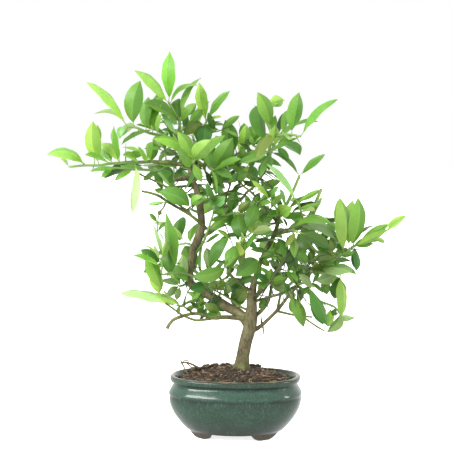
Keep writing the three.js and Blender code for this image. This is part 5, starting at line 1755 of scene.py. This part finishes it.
@dataclass
class Pot:
    """The oval glazed pot on four feet."""

    glaze: Material
    clay: Material
    body_width: float = 170.4 * MM
    body_depth: float = 133.2 * MM
    wall: float = 4.8 * MM
    floor_top: float = 16 * MM
    turn_degrees: float = -8.0
    power: float = 2.35
    segments: int = 112
    foot_angles: tuple[float, float] = (4.0, 78.0)
    foot_height: float = 12.5 * MM
    foot_depth: float = 13 * MM
    drain_across: float = 16 * MM
    drain_radius: float = 6 * MM
    drain_sides: int = 24
    # Height in millimetres, then shares of the half width and half depth, from the foot ring to the lip
    outside: tuple[Row, ...] = (
        (9.4, 0.712, 0.702), (10.6, 0.734, 0.726), (13.5, 0.77, 0.765), (19.0, 0.829, 0.827),
        (25.0, 0.884, 0.883), (31.0, 0.93, 0.93), (36.0, 0.96, 0.961), (40.0, 0.978, 0.979),
        (44.0, 0.991, 0.992), (48.0, 0.998, 0.999), (51.2, 0.998, 0.999), (52.6, 0.991, 0.991),
        (53.8, 0.992, 0.992), (55.2, 1.003, 1.004), (56.6, 1.005, 1.005), (58.2, 0.998, 0.998),
        (61.0, 0.982, 0.982), (64.5, 0.957, 0.956), (67.4, 0.937, 0.935), (68.8, 0.932, 0.93),
        (70.0, 0.94, 0.939), (71.2, 0.966, 0.966), (73.0, 0.98, 0.981), (75.5, 0.985, 0.987),
        (77.4, 0.98, 0.981), (78.6, 0.966, 0.966), (79.0, 0.945, 0.942), (78.6, 0.925, 0.917),
        (77.2, 0.912, 0.9),
    )
    apron_drop: float = 1.6 * MM
    # Height in millimetres up to which the inner wall follows the outside
    inner_top: float = 69.0
    # A foot's section: share of its height and millimetres inwards, from the top of the outer face
    foot_rows: tuple[tuple[float, float], ...] = (
        (1.0, 0.0), (0.6, 0.2), (0.3, 0.5), (0.1, 1.2), (0.0, 2.6), (0.0, 10.0), (0.16, 12.4),
        (1.0, 13.0),
    )

    def outline(
        self,
        half_width: float,
        half_depth: float,
        height: float,
        segments: int,
        power: float,
        centre: tuple[float, float] = (0.0, 0.0),
    ) -> list[Vector]:
        """Give a level oval of the pot, turned with it.

        Args:
            half_width: Half the oval's width.
            half_depth: Half its depth.
            height: Its height.
            segments: How many points it has.
            power: How square it is, from 2 for an ellipse.
            centre: Its middle, before the pot is turned.

        Returns:
            The points.
        """
        turn = Matrix.Rotation(math.radians(self.turn_degrees), 3, "Z")
        points = []
        for i in range(segments):
            x, y = oval(2 * math.pi * i / segments, power)
            flat = Vector((centre[0] + half_width * x, centre[1] + half_depth * y, height))
            points.append(turn @ flat + GROUND.origin)
        return points

    def drain(self, side: int, height: float) -> list[Vector]:
        """Give the rim of the drain hole on one side, -1 or 1, at a height."""
        middle = (side * self.drain_across, 0.0)
        return self.outline(self.drain_radius, self.drain_radius, height, self.drain_sides, 2.0, middle)

    def ring(self, row: Row, inset: float = 0.0) -> list[Vector]:
        """Give the body's oval for a row of the profile.

        Args:
            row: The height in millimetres, and the shares of half width and half depth.
            inset: How far inside the oval lies.

        Returns:
            The oval's points.
        """
        half_width = self.body_width / 2 * row[1] - inset
        half_depth = self.body_depth / 2 * row[2] - inset
        return self.outline(half_width, half_depth, row[0] * MM, self.segments, self.power)

    def inner_row(self, height: float) -> Row:
        """Give the outside's row at a height, for the inner wall.

        Args:
            height: The height in millimetres.

        Returns:
            The height, and the shares of half width and half depth there.
        """
        rows = [row for row in self.outside if row[0] <= self.inner_top]
        heights, widths, depths = zip(*rows)
        return (height, float(np.interp(height, heights, widths)), float(np.interp(height, heights, depths)))

    def build(self) -> list[Object]:
        """Make the glazed body and the clay feet.

        Returns:
            Both objects.
        """
        return [self.build_body(), self.build_feet()]

    def build_body(self) -> Object:
        """Loft the body from its profile, outside, lip and inside.

        Returns:
            The object.
        """
        mesher = Mesher()
        rings = [self.ring(row) for row in self.outside]
        for j, point in enumerate(rings[0]):
            point.z -= self.apron_drop * max(0.0, abs(math.sin(2 * math.pi * j / self.segments)) - 0.8) / 0.2
        for height in (72.0, 69.0, 62.0, 50.0, 38.0, 27.0):
            rings.append(self.ring(self.inner_row(height), self.wall))
        floor = self.inner_row(18.0)
        rings.append(self.ring((self.floor_top / MM, floor[1], floor[2]), self.wall + 2 * MM))
        points = [point for ring in rings for point in ring]
        count = self.segments
        faces: list[Face] = []
        for i in range(len(rings) - 1):
            for j in range(count):
                k = (j + 1) % count
                faces.append((i * count + j, i * count + k, (i + 1) * count + k, (i + 1) * count + j))
        mesher.add(points, faces, WHITE)
        self.add_floor(mesher, rings[0], rings[-1])
        piece = mesher.build("pot_body", [self.glaze, self.clay])
        dress(piece, "glaze", "pot")
        return piece

    def add_floor(self, mesher: Mesher, under: list[Vector], over: list[Vector]) -> None:
        """Close the pot's floor above and below, round its two drain holes.

        Args:
            mesher: The mesh in the making.
            under: The lowest ring of the outside.
            over: The lowest ring of the inside.
        """
        for ring, slot, flip in ((under, 1, True), (over, 0, False)):
            flat = bmesh.new()
            level = max(point.z for point in ring)
            verts = [flat.verts.new((point.x, point.y, level)) for point in ring]
            edges = [flat.edges.new((a, b)) for a, b in zip(verts, verts[1:] + verts[:1])]
            for side in (-1, 1):
                rim = [flat.verts.new(point) for point in self.drain(side, level)]
                edges += [flat.edges.new((a, b)) for a, b in zip(rim, rim[1:] + rim[:1])]
            bmesh.ops.triangle_fill(flat, use_beauty=True, use_dissolve=False, edges=edges)
            flat.verts.index_update()
            points = [vert.co.copy() for vert in flat.verts]
            faces = []
            for face in flat.faces:
                loop = tuple(vert.index for vert in face.verts)
                down = face.normal.z < 0
                faces.append(loop if down == flip else loop[::-1])
            mesher.add(points, faces, WHITE, slot)
            flat.free()
        for side in (-1, 1):
            walls = []
            for height in (max(point.z for point in under), over[0].z):
                walls += self.drain(side, height)
            sides = self.drain_sides
            faces = [(j, sides + j, sides + (j + 1) % sides, (j + 1) % sides) for j in range(sides)]
            mesher.add(walls, faces, WHITE, 1)

    def build_feet(self) -> Object:
        """Make the four scalloped feet, which carry on the line of the wall.

        Returns:
            The object.
        """
        mesher = Mesher()
        for start in (0.0, 180.0):
            low, high = self.foot_angles
            self.add_foot(mesher, start + low, start + high)
            self.add_foot(mesher, start + 180.0 - high, start + 180.0 - low)
        piece = mesher.build("pot_feet", [self.clay, self.glaze])
        dress(piece, "glaze")
        return piece

    def add_foot(self, mesher: Mesher, start: float, end: float) -> None:
        """Loft one foot between two angles: high at its ends, down to the ground in the middle.

        Args:
            mesher: The mesh in the making.
            start: The angle at which it begins, in degrees.
            end: The angle at which it ends.
        """
        steps = 28
        points: list[Vector] = []
        for i in range(steps + 1):
            share = i / steps
            angle = math.radians(start + (end - start) * share)
            x, y = oval(angle, self.power)
            drop = 0.5 - 0.5 * math.cos(math.pi * min(1.0, 2.7 * min(share, 1 - share)))
            bottom = self.foot_height * (1 - drop)
            points += self.foot_section(x, y, bottom, 0.35 + 0.65 * drop)
        around = len(points) // (steps + 1)
        clay: list[Face] = [tuple(range(around))[::-1]]
        clay.append(tuple(range(steps * around, (steps + 1) * around)))
        glazed: list[Face] = []
        for i in range(steps):
            for j in range(around):
                k = (j + 1) % around
                face = (i * around + j, (i + 1) * around + j, (i + 1) * around + k, i * around + k)
                (glazed if j == 0 else clay).append(face)
        mesher.add(points, clay, WHITE, 0)
        mesher.add(points, glazed, WHITE, 1)

    def foot_section(self, x: float, y: float, bottom: float, depth: float) -> list[Vector]:
        """Give one slice of a foot, from the top of its outer face round to the top of its inner one.

        Args:
            x: Across on the oval, -1 to 1.
            y: Depth on the oval, -1 to 1.
            bottom: The height of its lower edge.
            depth: Its share of the foot's whole depth.

        Returns:
            The slice's points.
        """
        turn = Matrix.Rotation(math.radians(self.turn_degrees), 3, "Z")
        tall = self.foot_height - bottom
        points = []
        for share, inset in self.foot_rows:
            height = bottom + tall * share
            wide = float(np.interp(height / MM, (0.0, 9.4, 13.5), (0.645, 0.704, 0.746)))
            back = inset / 13.0 * self.foot_depth * depth
            across = x * (self.body_width / 2 * wide - back)
            away = y * (self.body_depth / 2 * wide - back)
            points.append(turn @ Vector((across, away, height)) + GROUND.origin)
        return points


@dataclass
class Soil:
    """The heaped soil, with crumbs and fibres on it."""

    pot: Pot
    finish: Material
    edge_height: float = 71 * MM
    crown_height: float = 87.5 * MM
    gap: float = 0.4 * MM
    rings: int = 30
    segments: int = 96
    crumbs: int = 1300
    clods: int = 90
    fibres: int = 680
    rim_fibres: int = 150
    seed: int = 733
    browns: tuple[Rgb, ...] = (
        linear(41, 36, 29),
        linear(50, 43, 35),
        linear(62, 54, 43),
        linear(80, 70, 56),
        linear(31, 28, 24),
    )
    reds: tuple[Rgb, ...] = (
        linear(122, 90, 68),
        linear(98, 74, 56),
        linear(164, 136, 108),
        linear(138, 126, 104),
    )

    def half_axes(self) -> tuple[float, float]:
        """Measure the heap where it meets the wall.

        Returns:
            Its half width and half depth.
        """
        row = self.pot.inner_row(self.pot.inner_top)
        inset = self.pot.wall + self.gap
        return self.pot.body_width / 2 * row[1] - inset, self.pot.body_depth / 2 * row[2] - inset

    def surface(self, share: float, angle: float) -> Vector:
        """Give the heap's surface point.

        Args:
            share: How far out it lies, 0 at the middle and 1 at the wall.
            angle: The angle round the pot.

        Returns:
            The point in the frame.
        """
        half_width, half_depth = self.half_axes()
        x, y = oval(angle, self.pot.power)
        turn = Matrix.Rotation(math.radians(self.pot.turn_degrees), 3, "Z")
        rise = (self.crown_height - self.edge_height) * math.cos(share * math.pi / 2) ** 0.8
        point = turn @ Vector((x * half_width * share, y * half_depth * share, 0)) + GROUND.origin
        bumps = 1.1 * noise.noise(point * 70) + 0.9 * noise.noise(point * 190)
        bumps += 0.45 * noise.noise(point * 520)
        point.z = self.edge_height + rise + bumps * MM
        return point

    def build(self) -> list[Object]:
        """Make the heap and what lies on it.

        Returns:
            Both objects.
        """
        return [self.build_heap(), self.build_litter()]

    def build_heap(self) -> Object:
        """Make the soil's body, closed below.

        Returns:
            The object.
        """
        mesher = Mesher()
        points = [self.surface(0.0, 0.0)]
        count = self.segments
        for i in range(1, self.rings + 1):
            for j in range(count):
                points.append(self.surface(i / self.rings, 2 * math.pi * j / count))
        for height in (self.pot.inner_top, 50.0, 38.0, self.pot.floor_top / MM + 0.6):
            row = self.pot.inner_row(max(18.0, height))
            inset = self.pot.wall + self.gap + (2 * MM if height < 20 else 0.0)
            half_width = self.pot.body_width / 2 * row[1] - inset
            half_depth = self.pot.body_depth / 2 * row[2] - inset
            points += self.pot.outline(half_width, half_depth, height * MM, count, self.pot.power)
        faces: list[Face] = [(0, 1 + j, 1 + (j + 1) % count) for j in range(count)]
        total = self.rings + 4
        for i in range(total - 1):
            for j in range(count):
                k = (j + 1) % count
                a = 1 + i * count
                faces.append((a + j, a + count + j, a + count + k, a + k))
        faces.append(tuple(range(1 + (total - 1) * count, 1 + total * count)))
        mesher.add(points, faces, self.browns[0])
        piece = mesher.build("soil_heap", [self.finish])
        dress(piece, "soil", "soil")
        return piece

    def build_litter(self) -> Object:
        """Scatter crumbs of soil and bark fibres over the heap.

        Returns:
            The object.
        """
        draw = Random(self.seed)
        mesher = Mesher()
        for _ in range(self.crumbs):
            share = math.sqrt(draw.random()) * 0.985
            place = self.surface(share, draw.uniform(0, 2 * math.pi))
            size = draw.uniform(0.5, 1.7) * MM * (1.4 if draw.random() < 0.08 else 1.0)
            self.add_crumb(mesher, place, size, draw)
        for _ in range(self.clods):
            angle = draw.uniform(0, 2 * math.pi)
            place = self.surface(math.sqrt(draw.random()) * 0.95, angle)
            self.add_crumb(mesher, place, draw.uniform(1.8, 3.4) * MM, draw)
        for _ in range(self.fibres):
            share = math.sqrt(draw.random()) * 0.94
            place = self.surface(share, draw.uniform(0, 2 * math.pi))
            self.add_fibre(mesher, place, draw.uniform(3, 14) * MM, draw)
        # The loose pile along the back, towards the left
        for i in range(self.rim_fibres):
            place = self.surface(draw.uniform(0.5, 0.92), math.radians(draw.uniform(60, 168)))
            rise = (0.6 + 3.6 * i / self.rim_fibres) * MM
            self.add_crumb(mesher, place + UP * rise, draw.uniform(2.0, 3.6) * MM, draw)
            self.add_fibre(mesher, place + UP * (rise + 2.2 * MM), draw.uniform(5, 13) * MM, draw)
        self.add_dead_sprig(mesher)
        piece = mesher.build("soil_litter", [self.finish])
        dress(piece, "soil")
        return piece

    def add_crumb(self, mesher: Mesher, place: Vector, size: float, draw: Random) -> None:
        """Add one lumpy crumb, half sunk.

        Args:
            mesher: The mesh in the making.
            place: Its middle.
            size: Its radius.
            draw: The source of chance.
        """
        shape = bmesh.new()
        bmesh.ops.create_icosphere(shape, subdivisions=1, radius=size)
        stretch = Vector((draw.uniform(0.7, 1.5), draw.uniform(0.7, 1.3), draw.uniform(0.5, 0.9)))
        spin = Matrix.Rotation(draw.uniform(0, math.pi), 3, "Z")
        turn = spin @ Matrix.Rotation(draw.uniform(-0.6, 0.6), 3, "X")
        points = []
        for vert in shape.verts:
            lump = 1 + draw.uniform(-0.22, 0.22)
            points.append(turn @ Vector(a * b * lump for a, b in zip(vert.co, stretch)) + place)
        faces = [tuple(vert.index for vert in face.verts) for face in shape.faces]
        shape.free()
        tone = draw.choice(self.browns) if draw.random() < 0.86 else draw.choice(self.reds)
        mesher.add(points, faces, tone)

    def add_dead_sprig(self, mesher: Mesher) -> None:
        """Lay the dry sprig on the soil at the back left, over the rim.

        Args:
            mesher: The mesh in the making.
        """
        stem = [(-46, 86, 14), (-54, 91, 14), (-61, 94, 12), (-68, 94, 10), (-71, 97, 10)]
        twigs = (
            ((-70, 95, 10), (-67, 90, 4), (-64, 83, 0), (-60, 79, -4)),
            ((-62, 93, 12), (-57, 88, 6), (-55, 82, 2)),
            ((-68, 94, 10), (-65, 97, 12), (-59, 96, 14)),
        )
        tan = linear(112, 98, 74)
        for rows, radius in ((stem, 1.7), (twigs[0], 1.2), (twigs[1], 1.0), (twigs[2], 1.0)):
            points = [GROUND.seen(row) for row in rows]
            verts, faces = tube(points, [radius * MM * (1 - 0.12 * i) for i in range(len(points))], 6)
            mesher.add(verts, faces, tan)

    def add_fibre(self, mesher: Mesher, place: Vector, length: float, draw: Random) -> None:
        """Add one bent fibre that lies on the soil.

        Args:
            mesher: The mesh in the making.
            place: Its middle.
            length: Its length.
            draw: The source of chance.
        """
        angle = draw.uniform(0, 2 * math.pi)
        way = Vector((math.cos(angle), math.sin(angle), draw.uniform(-0.12, 0.3)))
        bend = Vector((-way.y, way.x, 0.4)) * length * draw.uniform(-0.25, 0.25)
        points = []
        for t in (0, 0.33, 0.66, 1):
            along = way * (length * (t - 0.5))
            points.append(place + UP * (0.4 * MM) + along + bend * (1 - (2 * t - 1) ** 2))
        radius = draw.uniform(0.3, 0.6) * MM
        verts, faces = tube(points, [radius * 0.6, radius, radius, radius * 0.5], 4)
        mesher.add(verts, faces, draw.choice(self.reds + self.browns[2:4]))


@dataclass
class Studio:
    """The pale floor, the soft lights and the camera."""

    eye: Vector = field(default_factory=lambda: EYE + GROUND.origin)
    pitch_degrees: float = 3.39
    lens: float = 112.1
    sensor_width: float = 36.0
    far_end: float = 50.0
    floor_size: float = 30.0
    seen_light: float = 1.0
    shed_light: float = 1.12

    def build(self) -> None:
        """Make the floor, the lights, the world and the camera."""
        self.build_floor()
        self.build_world()
        self.add_sun("key", (-1.5, -1.2, 1.9), 30.0, 1.5)
        self.add_sun("fill", (1.6, -1.2, 0.9), 40.0, 0.6)
        self.add_sun("top", (0.3, 0.5, 2.0), 60.0, 0.9)
        self.add_sun("back", (0.6, 1.8, 0.9), 40.0, 0.8)
        self.add_window("window", (-1.43, -1.1, 0.93), (1.8, 0.36), 32.0)
        self.add_window("side_window", (1.87, -0.19, 0.72), (0.22, 0.2), 5.0)
        self.build_camera()
        bpy.context.scene.view_settings.view_transform = "Standard"

    def build_floor(self) -> None:
        """Lay the floor just under the feet."""
        half = self.floor_size / 2
        mesh = bpy.data.meshes.new("floor")
        corners = [(-half, -half, 0), (half, -half, 0), (half, half, 0), (-half, half, 0)]
        mesh.from_pydata(corners, [], [(0, 1, 2, 3)])
        mesh.materials.append(FloorFinish().make())
        floor = stand("floor", mesh)
        floor.visible_diffuse = False
        floor.visible_glossy = False

    def build_world(self) -> None:
        """Surround the scene with white, brighter to the eye than the light it sheds."""
        world = bpy.data.worlds.new("studio")
        world.use_nodes = True
        tree = world.node_tree
        background = tree.nodes["Background"]
        background.inputs["Color"].default_value = (*WHITE, 1.0)
        path = tree.nodes.new("ShaderNodeLightPath")
        level = tree.nodes.new("ShaderNodeMapRange")
        level.inputs["To Min"].default_value = self.shed_light
        level.inputs["To Max"].default_value = self.seen_light
        tree.links.new(path.outputs["Is Camera Ray"], level.inputs["Value"])
        tree.links.new(level.outputs[0], background.inputs["Strength"])
        bpy.context.scene.world = world

    def aim(self, name: str, light: bpy.types.Light, place: Row, height: float) -> Object:
        """Hang a light in place, turned to the tree at a height.

        Args:
            name: The lamp's name.
            light: The light.
            place: Where it hangs, from the pot's middle.
            height: The height that it is turned to.

        Returns:
            The lamp.
        """
        lamp = stand(name, light)
        lamp.location = Vector(place) + GROUND.origin
        toward = Vector((0, 0, height)) + GROUND.origin - lamp.location
        lamp.rotation_euler = toward.to_track_quat("-Z", "Y").to_euler()
        return lamp

    def add_sun(self, name: str, place: Row, spread_degrees: float, strength: float) -> None:
        """Add one broad, soft, distant light that leaves no glint.

        Args:
            name: The lamp's name.
            place: The side that it shines from.
            spread_degrees: How broad it looks.
            strength: Its strength.
        """
        light = bpy.data.lights.new(name, "SUN")
        light.angle = math.radians(spread_degrees)
        light.energy = strength
        self.aim(name, light, place, 0.25).visible_glossy = False

    def add_window(self, name: str, place: Row, size: tuple[float, float], power: float) -> None:
        """Add one oblong soft light, whose glint shows on the glaze.

        Args:
            name: The lamp's name.
            place: Where it hangs.
            size: Its width and height.
            power: Its power.
        """
        light = bpy.data.lights.new(name, "AREA")
        light.shape = "RECTANGLE"
        light.size, light.size_y = size
        light.energy = power
        self.aim(name, light, place, 0.15)

    def build_camera(self) -> None:
        """Stand the camera at the photograph's place."""
        data = bpy.data.cameras.new("camera")
        data.lens = self.lens
        data.sensor_width = self.sensor_width
        data.clip_end = self.far_end
        camera = stand("camera", data)
        camera.location = self.eye
        camera.rotation_euler = (math.radians(90 - self.pitch_degrees), 0, 0)
        bpy.context.scene.camera = camera


def main() -> None:
    """Build the tree, its pot and the studio."""
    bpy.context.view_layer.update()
    Studio().build()
    pot = Pot(GlazeFinish().make(), ClayFinish().make())
    pot.build()
    Soil(pot, SoilFinish().make()).build()
    Wood(BarkFinish().make()).build()
    shoots = Shoots(LeafFinish().make(), StemFinish().make())
    shoots.build()
    InnerGrowth(shoots).build()


if __name__ == "__main__":
    main()
